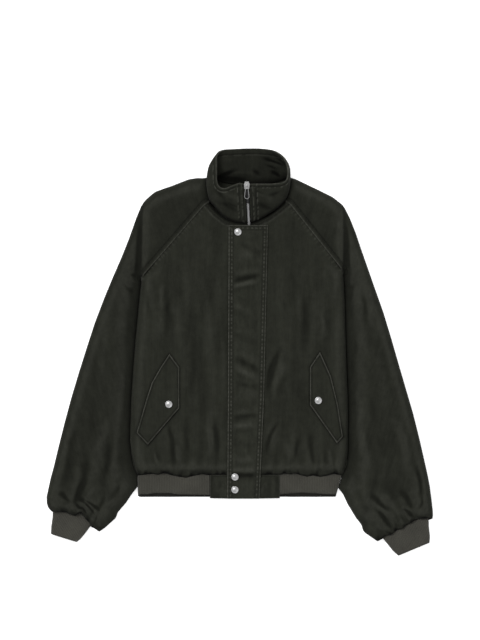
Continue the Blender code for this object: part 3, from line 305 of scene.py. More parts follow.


# Creases: two ends, half width, height (a trough below zero) and how far its middle bows sideways
FRONT_CREASES = (
    (-86, 60, -78, -190, 11, -1.5, 6), (-166, 150, -168, 84, 6, 1.1, 2),
    (-150, 120, -146, 40, 8, -1, -3), (-57, -120, -50, -244, 5, -1.5, 4),
    (-64, -150, -66, -228, 6, 1.3, 3), (-154, -140, -140, -252, 5, -1.5, 5),
    (-138, -190, -128, -240, 5, 1.4, 3), (-110, -120, -104, -235, 9, -1.3, -5),
    (-180, -205, -168, -246, 5, 1.3, -2), (-118, 200, -112, 60, 9, 0.9, 5),
    (-60, 190, -52, 30, 8, -0.8, -4), (-40, 60, -36, -120, 5, 0.7, 3),
    (90, 20, 52, -104, 5, -1.9, -6), (98, -12, 68, -110, 7, 1.4, -5),
    (84, -140, 52, -222, 5, -1.7, -5), (120, 140, 124, 30, 6, 1.1, 4),
    (132, 130, 134, -20, 8, -1.1, 4), (170, 90, 176, 20, 6, 0.9, 2),
    (104, 190, 108, 70, 9, -0.9, 5), (146, -150, 160, -252, 5, -1.4, -4),
    (120, -170, 112, -240, 7, -1.3, 3), (186, -200, 192, -246, 5, 1.3, 2),
    (96, -180, 100, -244, 6, 1.2, 3), (-196, 140, -188, 60, 7, -1.1, -3),
    (206, 150, 200, 60, 7, -1.1, 3),
)
SLEEVE_CREASES = (
    (-236, 164, -206, 148, 4, -2.2, 3), (-230, 152, -208, 134, 4, 1.6, 2),
    (-246, 148, -216, 122, 5, -1.6, -4), (-238, 120, -246, -20, 10, -1.4, 8),
    (-268, 90, -296, -90, 9, 1, -6), (-250, -20, -262, -170, 8, 1.2, 6),
    (-290, -110, -316, -250, 11, 1.8, 10), (-272, -150, -300, -300, 10, -2.4, 12),
    (-340, -150, -368, -270, 9, -1.6, -6), (-360, -190, -388, -290, 8, 1.6, -5),
    (-318, -262, -352, -338, 7, -3, -7), (-300, -280, -336, -346, 6, 2.2, -6),
    (-282, -296, -318, -352, 6, -2.4, 5), (-386, -292, -356, -322, 6, -2.6, 4),
    (-262, -300, -300, -362, 5, 1.8, 4), (-246, -270, -290, -322, 7, -1.8, 5),
    (266, 142, 276, 46, 5, 1.9, 3), (256, 140, 262, 40, 7, -1.4, 3),
    (232, 166, 222, 128, 5, -2, -3), (246, 176, 230, 120, 6, 1.2, -4),
    (244, 60, 250, -110, 11, -1.7, -6), (284, 20, 306, -160, 10, 1.2, 7),
    (266, -110, 292, -250, 10, -2.2, -9), (326, -130, 350, -270, 10, 1.7, 7),
    (350, -150, 376, -290, 9, -1.6, 5), (250, -180, 262, -280, 9, 1.6, -4),
    (262, -296, 318, -346, 7, -2.6, 6), (274, -318, 330, -362, 6, 2, 5),
    (300, -286, 346, -350, 6, 1.6, -5), (330, -280, 366, -346, 6, -2.4, 4),
    (384, -300, 372, -344, 6, -2, 3), (236, -270, 282, -352, 7, -1.8, -6),
    (-344, -300, -298, -356, 3.5, -4, 3), (-334, -306, -290, -340, 3.5, -4, 3),
    (-350, -314, -320, -364, 3.5, -3.6, 2), (-318, -200, -348, -340, 8, -3.4, 4),
    (368, -225, 384, -338, 6, -4, 4), (340, -326, 368, -360, 4, -4, 2),
    (286, -330, 318, -376, 4, -3, 3),
)
FLAP_CREASES = (
    (-44, 140, 66, 166, 6, -1, 3), (-40, 130, 50, 152, 6, 0.8, 2),
    (-10, 232, 70, 190, 8, -0.6, 2), (-40, 190, 60, 224, 9, 0.6, -3),
    (-50, 108, 40, 72, 10, 0.6, 3), (-50, 50, 66, 12, 8, -0.5, -3),
    (-34, -6, 74, -58, 6, -0.9, 4), (-40, -22, 50, -66, 8, 0.8, 4),
    (-30, -56, 80, -84, 7, -0.5, -2), (-50, -104, 60, -88, 9, 0.6, 3),
    (-50, -150, 64, -136, 6, -0.65, 7), (-44, -156, 70, -150, 7, 0.7, -2),
    (-40, -190, 74, -212, 9, -0.5, 3), (-50, -236, 50, -222, 8, 0.6, 2),
)
BACK_CREASES = (
    (-120, 120, -110, -160, 12, -1, 8), (130, 140, 118, -150, 12, -1, -8),
    (0, 240, 10, 60, 14, -0.8, 6), (-60, -120, -40, -240, 9, -1.2, 4),
    (70, -130, 60, -240, 9, -1.2, -4), (-160, -150, -150, -240, 8, -1, 3),
    (160, -160, 150, -240, 8, -1, 3),
)


def crease_relief(points, table):
    """Height that the creases of a table add at plan points: soft ridges and troughs, deepest near their middle."""
    relief = np.zeros(len(points))
    for number, (x0, y0, x1, y1, half_width, height, bow) in enumerate(table):
        start = np.array((x0, y0))
        way = np.array((x1, y1)) - start
        length = float(np.hypot(*way))
        way = way / length
        aside = np.array((-way[1], way[0]))
        local = points - start
        t = (local @ way) / length
        bend = bow * 4.0 * t * (1.0 - t) + 0.14 * half_width * np.sin(7.0 * t + number)
        width = half_width * (min(1.25, 0.5 + length / 140.0) + 0.3 * np.sin(5.0 * t + 2.0 * number))
        gap = (local @ aside - bend) / width
        fade = ease(t * 2.6) * ease((1.0 - t) * 2.0)
        relief += height * fade * np.exp(-gap * gap)
    return relief


def crumple(points, amount, seed):
    """Fine unevenness of washed cotton: crossing soft ridges that come and go."""
    coarse = noise_field(points, 38.0, seed)
    fine = 1.0 - 2.0 * np.abs(noise_field(points * np.array((1.0, 0.55)), 13.0, seed + 3))
    small = noise_field(points, 6.0, seed + 7)
    return amount * (0.9 * coarse + 0.42 * fine * (0.4 + 0.6 * np.abs(coarse)) + 0.12 * small)


def pucker(along, seed, length=PUCKER_LENGTH):
    """Uneven waves along a seam, from -1 to 1."""
    return (0.6 * np.sin(2.0 * math.pi * along / length + 1.7 * seed)
            + 0.4 * np.sin(2.0 * math.pi * along / (0.57 * length) + 0.9 * seed + 0.8 * np.sin(along / 31.0)))


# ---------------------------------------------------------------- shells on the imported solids

def flooded(faces, bend):
    """Groups of faces that are joined by edges which turn less than this many degrees."""
    left, groups = set(faces), []
    while left:
        queue = [left.pop()]
        group = set(queue)
        while queue:
            for edge in queue.pop().edges:
                if len(edge.link_faces) != 2 or edge.calc_face_angle(math.pi) > math.radians(bend):
                    continue
                for other in edge.link_faces:
                    if other in left:
                        left.discard(other)
                        group.add(other)
                        queue.append(other)
        groups.append(group)
    return groups


def merged_copy(node):
    bm = bmesh.new()
    bm.from_mesh(bpy.data.objects[node].data)
    bmesh.ops.remove_doubles(bm, verts=bm.verts, dist=0.002 * MM)
    bm.normal_update()
    bm.faces.ensure_lookup_table()
    return bm


def outer_side(node, up, spot, bend):
    """The side of a packed cloth wall that faces up (1) or down (-1): the one seen at the spot, or the largest."""
    bm = merged_copy(node)
    groups = flooded([f for f in bm.faces if f.normal.z * up > 0.02], bend)
    if spot:
        place = Vector((spot[0] * MM, spot[1] * MM, up))
        seen = bm.faces[BVHTree.FromBMesh(bm).ray_cast(place, Vector((0.0, 0.0, -up)))[2]]
        keep = next(group for group in groups if seen in group)
    else:
        keep = max(groups, key=lambda group: sum(f.calc_area() * f.normal.z for f in group) * up)
    bmesh.ops.delete(bm, geom=[f for f in bm.faces if f not in keep], context="FACES")
    return bm


def boundary_loop(bm):
    """Corners of the longest boundary loop of an open bmesh."""
    edges = {e for e in bm.edges if e.is_boundary}
    loops = []
    while edges:
        edge = edges.pop()
        start, here = edge.verts
        loop = [start]
        while here is not start:
            loop.append(here)
            edge = next(e for e in here.link_edges if e in edges)
            edges.discard(edge)
            here = edge.other_vert(here)
        loops.append(loop)
    return max(loops, key=len)


def grain_axes(turn, stretch):
    """Turns plan points so that their first axis runs across the grain, and shortens them along it."""
    c, s = math.cos(turn), math.sin(turn)
    return np.array(((c, s / stretch), (-s, c / stretch)))


def resampled(loop, pitch):
    """A closed loop of rows with its corners kept and its long stretches divided."""
    points = []
    for a, b in zip(loop, np.roll(loop, -1, axis=0)):
        count = max(1, int(round(np.hypot(*(b - a)[:2]) / pitch)))
        points += [a + (b - a) * k / count for k in range(count)]
    return np.array(points)


def filled_plan(plan, pitch, insets):
    """Triangles that fill a plan outline: rows close to the rim, then an even field of points."""
    forward = np.roll(plan, -1, axis=0) - np.roll(plan, 1, axis=0)
    area = 0.5 * np.sum(plan[:, 0] * np.roll(plan[:, 1], -1) - np.roll(plan[:, 0], -1) * plan[:, 1])
    inward = np.stack((-forward[:, 1], forward[:, 0]), axis=1) * np.sign(area)
    inward /= np.maximum(np.hypot(inward[:, 0], inward[:, 1]), 1e-6)[:, None]
    closed = [tuple(p) for p in plan] + [tuple(plan[0])]
    inner = []
    for inset in insets:
        moved = plan + inward * inset
        away = distance_to(moved, closed)
        inner.append(moved[away > 0.82 * inset])
    low, high = plan.min(0), plan.max(0)
    xs = np.arange(low[0], high[0], pitch)
    ys = np.arange(low[1], high[1], 0.866 * pitch)
    field = np.array([(x + 0.5 * pitch * (j % 2), y) for j, y in enumerate(ys) for x in xs])
    crossings = np.zeros(len(field), int)
    for a, b in zip(plan, np.roll(plan, -1, axis=0)):
        if a[1] == b[1]:
            continue
        between = (field[:, 1] >= min(a[1], b[1])) & (field[:, 1] < max(a[1], b[1]))
        x_at = a[0] + (field[:, 1] - a[1]) * (b[0] - a[0]) / (b[1] - a[1])
        crossings += between & (field[:, 0] < x_at)
    field = field[crossings % 2 == 1]
    away = distance_to(field, closed)
    inner.append(field[away > insets[-1] + 0.5 * pitch])
    points = np.concatenate([plan] + inner)
    count = len(plan)
    ring = list(range(count)) if area > 0.0 else list(range(count))[::-1]
    edges = [(k, (k + 1) % count) for k in range(count)]
    made = delaunay_2d_cdt([Vector(p) for p in points], edges, [ring], 1, 1e-4)
    return np.array([v[:] for v in made[0]]), made[2]


def heights_on(tree, plan, rim, up):
    """Height of a surface at plan points. Points of the rim keep its own heights."""
    known = {(round(x, 3), round(y, 3)): z for x, y, z in rim}
    heights = []
    for x, y in plan:
        z = known.get((round(x, 3), round(y, 3)))
        if z is None:
            hit = tree.ray_cast(Vector((x * MM, y * MM, up)), Vector((0.0, 0.0, -up)))[0]
            z = (hit or tree.find_nearest(Vector((x * MM, y * MM, 0.01)))[0]).z / MM
        heights.append(z)
    return np.array(heights)


def neighbour_mean(values, pairs, counts):
    total = np.zeros(len(values))
    np.add.at(total, pairs[:, 0], values[pairs[:, 1]])
    np.add.at(total, pairs[:, 1], values[pairs[:, 0]])
    return total / counts


class Panel:
    """One cloth panel before it becomes a mesh: its plan triangles, its heights, its wear and painted highlights,
    and its painted shade.
    """

    def __init__(self, node, up=1, pitch=2.5, smooth=8, spot=None, grain=(0.0, 1.0), insets=RIM_ROWS,
                 bend=PANEL_BEND):
        side = outer_side(node, up, spot, bend)
        self.node, self.up = node, up
        turned = grain_axes(*grain)
        loop = np.array([v.co[:] for v in boundary_loop(side)]) / MM
        rim = resampled(np.column_stack((loop[:, :2] @ turned, loop[:, 2])), pitch)
        plan, self.faces = filled_plan(rim[:, :2], pitch, insets)
        back = np.linalg.inv(turned)
        self.plan = plan @ back
        rim[:, :2] = rim[:, :2] @ back
        tree = BVHTree.FromBMesh(side)
        side.free()
        self.height = heights_on(tree, self.plan, rim, up)
        closed = [tuple(p) for p in rim[:, :2]] + [tuple(rim[0, :2])]
        self.from_rim = distance_to(self.plan, closed)
        pairs = {tuple(sorted((f[i], f[i - 1]))) for f in self.faces for i in range(len(f))}
        self.pairs = np.array(sorted(pairs))
        counts = np.zeros(len(self.plan))
        np.add.at(counts, self.pairs.ravel(), 1.0)
        self.counts = np.maximum(counts, 1.0)
        hold = ease(self.from_rim / 7.0)
        for _ in range(smooth):
            self.height += 0.7 * hold * (neighbour_mean(self.height, self.pairs, self.counts) - self.height)
        self.wear_and_highlight = np.zeros(len(self.plan))
        self.painted_shade = np.zeros(len(self.plan))

    def reach_out(self, line, way, amount, drop=0.0, reach=9.0):
        """Draws the cloth near a line outwards, such as under or over its neighbour."""
        gap, along, _ = line_distance(self.plan, line)
        share = np.clip(1.0 - gap / reach, 0.0, 1.0)
        far = amount(along) if callable(amount) else amount
        self.plan = self.plan + np.outer(share * far, way)
        self.height -= drop * self.up * share ** 2

    def turn_down(self, line, level, reach=5.0):
        """Rolls the cloth near a line down to a level, so that no gap shows beside it."""
        gap = distance_to(self.plan, line)
        share = np.clip(1.0 - gap / reach, 0.0, 1.0) ** 2
        self.height += share * np.minimum(level - self.height, 0.0)

    def pale_tops_and_shade_hollows(self, pale=0.16, hollow_shade=0.5, steps=20, scale=0.6):
        """Pales the tops of the folds, as washed-out wear and painted highlight, and darkens their hollows with
        painted shade.
        """
        low = self.height.copy()
        for _ in range(steps):
            low = neighbour_mean(low, self.pairs, self.counts)
        ridge = (self.height - low) * self.up / scale * ease((self.from_rim - 5.0) / 16.0)
        self.lighten(np.clip(ridge, 0.0, 1.0) * pale)
        self.darken(np.clip(-ridge, 0.0, 1.0) * hollow_shade)

    def raise_by(self, amount):
        self.height += amount * self.up

    # Paler cloth: worn edges and painted highlights
    def lighten(self, amount):
        self.wear_and_highlight = np.maximum(self.wear_and_highlight, np.clip(amount, 0.0, 1.0))

    # Painted shade, stored on the mesh for the material
    def darken(self, amount):
        self.painted_shade = np.maximum(self.painted_shade, np.clip(amount, 0.0, 1.0))

    def seam_on_top(self, line, seed, band=SEAM_BAND, height=SEAM_BAND_HEIGHT, wear_and_highlight=0.9):
        """This panel's folded edge lies over its neighbour along the line."""
        gap, along, _ = line_distance(self.plan, line)
        wave = pucker(along, seed)
        self.raise_by(height * (1.0 - ease((gap - band) / 1.6)) * (1.0 + 0.3 * wave))
        self.raise_by(0.35 * wave * bell(gap, 5.0, band))
        patchy = 0.55 + 0.45 * wave
        self.lighten(wear_and_highlight * (0.25 + 0.6 * patchy) * bell(gap, 1.5, 1.0))
        # Painted shade along the inner edge of the raised band
        self.darken((0.5 + 0.45 * patchy) * bell(gap, 2.0, band))

    def seam_below(self, line, seed, dip=SEAM_DIP, painted_shade=0.9):
        """This panel runs under its neighbour's folded edge along the line."""
        gap, along, _ = line_distance(self.plan, line)
        wave = pucker(along, seed)
        self.raise_by(-dip * bell(gap, 2.4) + 0.3 * wave * bell(gap, 4.0, 5.0))
        # Painted shade in the groove beside the folded edge
        self.darken(painted_shade * bell(gap, 2.4))
        self.lighten(0.22 * (wave > 0.3) * bell(gap, 3.0, 5.0))

    def finish(self, name, thickness, material, flat, area=None, slot="denim"):
        """The panel as a closed shell of this thickness, standing for its node."""
        points = np.column_stack((self.plan, self.height))
        faces = [f if self.up > 0 else f[::-1] for f in self.faces]
        return cloth_piece(name, points, faces, self.wear_and_highlight, self.painted_shade, thickness, self.node, material)


def cloth_piece(name, points, faces, wear_and_highlight, painted_shade, thickness, node, material):
    mesh = bpy.data.meshes.new(name)
    mesh.from_pydata((points * MM).tolist(), [], faces)
    for label, values in (("wear_and_highlight", wear_and_highlight), ("painted_shade", painted_shade)):
        layer = mesh.attributes.new(label, "FLOAT", "POINT")
        layer.data.foreach_set("value", np.clip(values, 0.0, 1.0).astype(np.float32))
    mesh.shade_smooth()
    mesh.materials.append(material)
    piece = bpy.data.objects.new(name, mesh)
    bpy.context.collection.objects.link(piece)
    wall = piece.modifiers.new("thickness", "SOLIDIFY")
    wall.thickness = thickness * MM
    wall.offset = -1.0
    wall.use_quality_normals = True
    bpy.ops.object.select_all(action="DESELECT")
    bpy.context.view_layer.objects.active = piece
    piece.select_set(True)
    bpy.ops.object.modifier_apply(modifier=wall.name)
    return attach(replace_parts(piece, node), JACKET)


# ---------------------------------------------------------------- the jacket

# Plan lines of the seams and edges, from the part's own sizes
RAGLAN = {"left": ((-206.6, 156.7), (-68.9, 315)), "right": ((216.7, 169.5), (100, 316.1))}
NECK = {"left": ((-68.9, 315), (-51, 294), (-30, 277.5), (-10, 270), (14.7, 268.5)),
        "right": ((100, 316.1), (80, 300), (58, 284), (38, 274), (23.1, 268.5))}
BACK_NECK = ((-70.4, 345.4), (-59.2, 358.9), (-42, 357.3), (16.8, 351), (79.8, 357.3), (95.2, 358.9), (104.6, 345.4))
HEM = {"left": ((-217.4, -257.2), (10.5, -258.2)), "right": ((19, -258.2), (217.8, -257.2))}
WHOLE_HEM = HEM["left"] + HEM["right"]
BODY_SIDE = {"left": ((-206.6, 156.7), (-212.1, 102.9), (-220.5, 12.6), (-228.3, -96.6), (-231, -184.8),
                      (-228.1, -212.1), (-217.4, -257.2)),
             "right": ((216.7, 169.5), (219.7, 109.2), (222.2, 12.6), (226.4, -96.6), (226.4, -184.8),
                       (225.8, -212.1), (217.8, -257.2))}
SHOULDER = {"left": ((-207.7, 157.1), (-205.5, 230), (-202.7, 313.9)),
            "right": ((217.8, 169.7), (217, 240), (215.2, 309.8))}
COLLAR_END = {"left": ((-68.9, 315), (-72.4, 366.9)), "right": ((100, 316.1), (108.3, 367.6))}
SLEEVE_END = {"left": ((-401.7, -329.7), (-300.3, -373.8)), "right": ((294.6, -394.8), (405.1, -350.7))}
FLAP_LEFT_EDGE = ((-23.5, 266.3), (-25, -96.6), (-26.7, -304.5))
FLAP_RIGHT_EDGE = ((58.8, 266.3), (50.4, -96.6), (41, -304.5))
FLAP_TOP_EDGE = ((-23.5, 266.3), (58.8, 266.3))
OUTWARD = {"left": (-1, 0), "right": (1, 0)}

# Where the gathered cloth hangs over the ribs: distance along the edge, and how far it hangs there
HEM_HANG = {"left": ((0, 14, 32, 46, 58, 72, 88, 104, 120, 138, 152, 166, 300),
                     (3, 1, -1.5, 0.5, -3.5, 1, 4.5, 7, 2.5, -1, 1, 0, 0)),
            "right": ((0, 66, 74, 86, 96, 110, 122, 134, 150, 164, 178, 190, 199),
                      (0, 0, -3, -0.5, -3, 1.5, 4.5, 2, 5.5, 2.5, -1.5, 1.5, 3))}
CUFF_HANG = {"left": ((0, 8, 20, 36, 50, 57, 65, 76, 92, 102, 111),
                      (0, 3, -1, -8, -7, -9, -19, -13, -6, -1, 1)),
             "right": ((0, 12, 26, 40, 52, 62, 72, 82, 94, 106, 119),
                       (0, -3, -1.5, -6, -4.5, -8, -8.5, -11, -10, -6, 0))}


# Where the sleeves stand out a little further: line, direction and how far
SLEEVE_FULLNESS = {
    "left": ((((-92, 365), (-152, 344), (-197, 323)), (-0.45, 0.89), 3),
             (((-218, -258), (-217.3, -290)), (1, 0), 2),
             (((-268, -345), (-300.3, -373.8)), (0.8, -0.6), 6)),
    "right": ((((219.2, -256.5), (211, -287)), (-1, 0), 4),
              (((266, -372), (294.6, -394.8)), (-0.8, -0.6), 6.5)),
}
CUFF_FULLNESS = {
    "cuff_left": (((-398.4, -379), (-341.7, -399), (-327, -384)), (-0.33, -0.94), 3),
    "cuff_right": (((399, -400), (333, -427), (302, -398)), (-0.1, -0.99), 1.5),
}


def hang_of(table):
    return lambda along: np.interp(along, *table)


def gather_relief(points, line, reach, height, seed, spacing):
    """Cloth drawn in along a line: uneven folds that run square to it and die away."""
    gap, along, _ = line_distance(points, line)
    drift = 0.38 * spacing * np.sin(along / 23.0 + seed) + 0.24 * spacing * np.sin(along / 9.0 + 2.0 * seed)
    phase = 2.0 * math.pi * (along + drift + 0.16 * gap * np.sin(along / 31.0 + seed)) / spacing
    size = 0.55 + 0.45 * np.sin(along / 29.0 + 1.3 * seed)
    length = reach * (0.75 + 0.55 * np.sin(along / 17.0 + 2.1 * seed))
    wave = np.sin(phase) + 0.4 * np.sin(2.3 * phase + seed)
    return height * size * wave * np.exp(-(gap / length) ** 1.5), gap, along


def calm_under(points):
    """1 on open cloth, 0 under the storm flap."""
    left, _, side_left = line_distance(points, FLAP_LEFT_EDGE)
    right, _, side_right = line_distance(points, FLAP_RIGHT_EDGE)
    inside = (side_left > 0) & (side_right < 0)
    return np.where(inside, 0.0, ease(np.minimum(left, right) / 6.0))


def make_front(side, material, seed):
    panel = Panel("front_" + side)
    p = panel.plan
    open_cloth = calm_under(p)
    inside = ease(panel.from_rim / 6.0) * open_cloth
    panel.raise_by(crease_relief(p, FRONT_CREASES) * inside)
    panel.raise_by(crumple(p * np.array((1.0, 0.3)), 0.42, seed) * inside)
    folds, gap, _ = gather_relief(p, HEM[side], 20.0, 1.3, seed, 18.0)
    panel.raise_by(folds * open_cloth * ease(gap / 2.0))
    panel.raise_by(open_cloth * (0.6 * bell(gap, 15.0) - 1.0 * bell(gap, 3.0)))
    panel.seam_below(RAGLAN[side], seed)
    panel.seam_on_top(NECK[side], seed + 1, band=8.0, height=0.6, wear_and_highlight=0.0)
    neck = distance_to(p, NECK[side])
    panel.lighten(0.4 * bell(neck, 2.0, 10.0) * (0.6 + 0.4 * noise_field(p, 7.0, seed)))
    panel.pale_tops_and_shade_hollows()
    # Painted shade in the gathers above the hem, in uneven patches
    patch = np.clip(0.3 + 2.2 * noise_field(p * np.array((1.0, 0.5)), 9.0, seed + 5), 0.0, 1.0)
    panel.darken(open_cloth * (0.8 * bell(gap, 2.5) + patch * bell(gap, 9.0)))
    away = distance_to(p, BODY_SIDE[side])
    panel.lighten(0.3 * bell(away, 1.8) * (0.5 + 0.5 * noise_field(p, 9.0, seed)))
    # Painted shadow below the collar, along the neck seam
    panel.darken(0.95 * bell(neck, 5.0))
    # Painted shadow around the pocket flap
    pocket = distance_to(p, POCKET_EDGE[side])
    panel.darken(0.6 * bell(pocket, 3.0))
    panel.reach_out(HEM[side], (0.0, -1.0), hang_of(HEM_HANG[side]))
    panel.turn_down(BODY_SIDE[side], 1.5)
    panel.reach_out(BODY_SIDE[side], OUTWARD[side], 1.2)
    panel.reach_out(RAGLAN[side], (OUTWARD[side][0] * 0.75, 0.66), 4.0, drop=1.2, reach=10.0)
    panel.reach_out(NECK[side], (0.0, 1.0), 2.0, drop=1.0)
    return panel.finish("denim_front_" + side, DENIM_THICK, material, (0.245, 0.585), 0.117)


def make_back(material):
    panel = Panel("back", up=-1, pitch=4.5, smooth=3)
    p = panel.plan
    inside = ease(panel.from_rim / 12.0)
    panel.raise_by(np.minimum(crease_relief(p, BACK_CREASES), 0.0) * inside)
    panel.raise_by(-np.abs(crumple(p, 0.5, 5)) * inside)
    panel.pale_tops_and_shade_hollows()
    panel.reach_out(BACK_NECK, (0.0, 1.0), 8.0, reach=14.0)
    panel.reach_out(((90.0, 366.0), (104.6, 354.0)), (0.4, 0.9), 6.0, reach=16.0)
    return panel.finish("denim_back", DENIM_THICK, material, (0.47, 0.62), 0.252)


def make_sleeve(side, material, seed):
    panel = Panel("sleeve_" + side + "_front")
    p = panel.plan
    inside = ease(panel.from_rim / 7.0)
    panel.raise_by(crease_relief(p, SLEEVE_CREASES) * inside * 0.72)
    panel.raise_by(crumple(p * np.array((1.0, 0.35)), 0.42, seed) * inside)
    folds, gap, _ = gather_relief(p, SLEEVE_END[side], 24.0, 1.2, seed, 19.0)
    panel.raise_by(folds * ease(gap / 2.0) * ease(panel.from_rim / 4.0))
    panel.raise_by(1.0 * bell(gap, 14.0) - 1.0 * bell(gap, 3.0))
    patch = np.clip(0.3 + 2.2 * noise_field(p, 9.0, seed + 5), 0.0, 1.0)
    lip, lip_along, lip_side = line_distance(p, SHOULDER[side])
    outer = np.where(lip_side * (1.0 if side == "left" else -1.0) > 0.0, 1.0, 0.0)
    panel.raise_by(-1.2 * outer * bell(lip, 8.0, 8.0) * ease(panel.from_rim / 9.0))
    panel.seam_on_top(RAGLAN[side], seed)
    panel.pale_tops_and_shade_hollows()
    # Painted shade in the gathers above the cuff, in uneven patches
    panel.darken(0.6 * bell(gap, 2.5) + 0.8 * patch * bell(gap, 11.0))
    # Painted shade along the fold that hangs from the shoulder
    panel.darken(0.42 * outer * bell(lip, 5.0, 3.0) * ease(lip_along / 20.0))
    # Painted shade beside the body's edge, where the sleeve runs under it
    away = distance_to(p, BODY_SIDE[side])
    panel.darken(0.6 * bell(away, 6.0) + 0.28 * bell(away, 24.0))
    collar_end = COLLAR_END[side]
    away = distance_to(p, collar_end)
    # Painted shadow beside the collar's end
    panel.darken(0.85 * bell(away, 6.0))
    panel.turn_down(BODY_SIDE[side], 2.5, 3.5)
    panel.reach_out(BODY_SIDE[side], (-OUTWARD[side][0], 0.0), 3.2, drop=1.0, reach=7.0)
    end_way = np.array(SLEEVE_END[side][1]) - np.array(SLEEVE_END[side][0])
    end_way = np.array((end_way[1], -end_way[0])) / np.hypot(*end_way)
    panel.reach_out(SLEEVE_END[side], end_way, hang_of(CUFF_HANG[side]), reach=42.0)
    panel.reach_out(collar_end, (-OUTWARD[side][0], 0.0), 5.0, drop=2.0)
    for line, way, far in SLEEVE_FULLNESS[side]:
        panel.reach_out(line, way, far, reach=13.0)
    panel.finish("denim_sleeve_" + side, DENIM_THICK, material, (0.235, 0.72), 0.1)
    under = Panel("sleeve_" + side + "_back", up=-1, pitch=5.0, smooth=3)
    calm = ease(under.from_rim / 12.0)
    under.raise_by(-np.abs(crumple(under.plan, 0.5, seed + 2)) * calm)
    under.pale_tops_and_shade_hollows()
    under.reach_out(collar_end, (-OUTWARD[side][0], 0.0), 10.0, reach=15.0)
    for line, way, far in SLEEVE_FULLNESS[side]:
        under.reach_out(line, way, far, reach=13.0)
    under.finish("denim_sleeve_" + side + "_under", DENIM_THICK, material, (0.235, 0.72), 0.1)


# Lower edges of the storm flap, the blocks and the front ribs
HEM_FOOT = {"flap": ((-26.7, -304.5), (41, -304.5)), "left": ((-66, -302), (-26, -304)),
            "right": ((38, -304), (84, -302))}


def make_storm_flap(material):
    panel = Panel("storm_flap", pitch=1.9, smooth=6)
    p = panel.plan
    inside = ease(panel.from_rim / 5.0)
    panel.raise_by(crease_relief(p, FLAP_CREASES) * inside * 1.5)
    panel.raise_by(crumple(p, 0.6, 4) * inside)
    for line, seed, strong in ((FLAP_LEFT_EDGE, 1, 1.0), (FLAP_RIGHT_EDGE, 2, 0.8), (FLAP_TOP_EDGE, 3, 0.8)):
        gap, along, _ = line_distance(p, line)
        wave = pucker(along, seed, 9.0)
        panel.raise_by(-0.45 * bell(gap, 0.9, 3.0) + 0.6 * wave * bell(gap, 3.5, 5.5))
        panel.raise_by(-0.4 * bell(gap, 1.0, 9.5))
        panel.lighten(strong * (0.5 + 0.5 * (wave > -0.1)) * bell(gap, 1.5))
        panel.lighten(0.5 * (wave > 0.1) * bell(gap, 1.6, 6.5))
        # Painted shade in the grooves of both stitch rows
        panel.darken((0.7 + 0.25 * wave) * bell(gap, 1.1, 3.4))
        panel.darken((0.6 + 0.3 * wave) * bell(gap, 1.1, 9.5))
    panel.pale_tops_and_shade_hollows(0.3, 0.7)
    panel.reach_out(HEM_FOOT["flap"], (0.0, -1.0), 3.0, reach=12.0)
    return panel.finish("denim_storm_flap", DOUBLE_THICK, material, (0.08, 0.574))


def make_pocket_flap(side, material):
    panel = Panel("pocket_flap_" + side, pitch=1.9, smooth=2)
    p = panel.plan
    gap = panel.from_rim
    wave = noise_field(p, 5.0, 3) + 0.9 * noise_field(p, 26.0, 6)
    panel.raise_by(crumple(p, 0.4, 8) * ease(gap / 4.0))
    panel.raise_by(-0.5 * bell(gap, 0.9, 3.4) + 0.35 * bell(gap, 1.2, 1.2))
    panel.lighten((0.7 + 0.5 * wave) * bell(gap, 1.7))
    # Painted shade in the groove of the stitch row
    panel.darken((0.7 + 0.4 * wave) * bell(gap, 1.1, 3.6))
    return panel.finish("denim_pocket_flap_" + side, DOUBLE_THICK, material, (0.078, 0.192), 0.0092)


def make_block(side, material):
    panel = Panel("hem_block_" + side, pitch=2.0, smooth=2)
    p = panel.plan
    gap = panel.from_rim
    panel.raise_by(crumple(p * 1.6, 0.9, 2) * ease(gap / 4.0))
    panel.lighten(0.6 * bell(gap, 1.4) * (0.5 + 0.5 * noise_field(p, 4.0, 2)))
    # Painted shade in the groove of the stitch row
    panel.darken(0.4 * bell(gap, 0.9, 3.2))
    panel.pale_tops_and_shade_hollows(0.3, 0.4)
    # Uneven patches of painted shade
    panel.darken(0.5 * np.clip(noise_field(p * np.array((1.0, 0.5)), 9.0, 12), 0.0, 1.0) * ease(gap / 3.0))
    panel.reach_out(HEM[side], (0.0, 1.0), 2.5, drop=2.5)
    panel.reach_out(HEM_FOOT[side], (0.0, -1.0), 3.0, reach=12.0)
    return panel.finish("denim_hem_block_" + side, DOUBLE_THICK, material, (0.078, 0.052))


# Knit ribs: node, side that shows, a spot on it, turn of its ribs, rib pitch, name and flat size
RIBS = (
    ("hem_rib", 1, (-150.0, -280.0), 0.0, 3.5, "knit_hem_left", (0.16, 0.05)),
    ("hem_rib", 1, (150.0, -280.0), 0.0, 3.5, "knit_hem_right", (0.135, 0.05)),
    ("hem_rib", -1, (0.0, -280.0), 0.0, 3.5, "knit_hem_back", (0.44, 0.055)),
    ("cuff_left", 1, (-360.0, -366.0), 0.41, 3.3, "knit_cuff_left", (0.1, 0.068)),
    ("cuff_left", -1, (-360.0, -366.0), 0.41, 3.3, "knit_cuff_left_under", (0.1, 0.068)),
    ("cuff_right", 1, (355.0, -385.0), -0.38, 3.3, "knit_cuff_right", (0.11, 0.072)),
    ("cuff_right", -1, (355.0, -385.0), -0.38, 3.3, "knit_cuff_right_under", (0.11, 0.072)),
)


# Lower edges of the front ribs, and how far each is drawn up along its length
RIB_FOOT = (
    (((-215, -301.5), (-66, -302.5)), ((0, 22, 34, 70, 84, 149), (0, 0.5, 3.5, 3.5, 0, -1.5))),
    (((84, -302.5), (200, -301.5)), ((0, 10, 40, 76, 92, 116), (0, 1.5, 4.5, 3.5, 0.5, 0))),
)


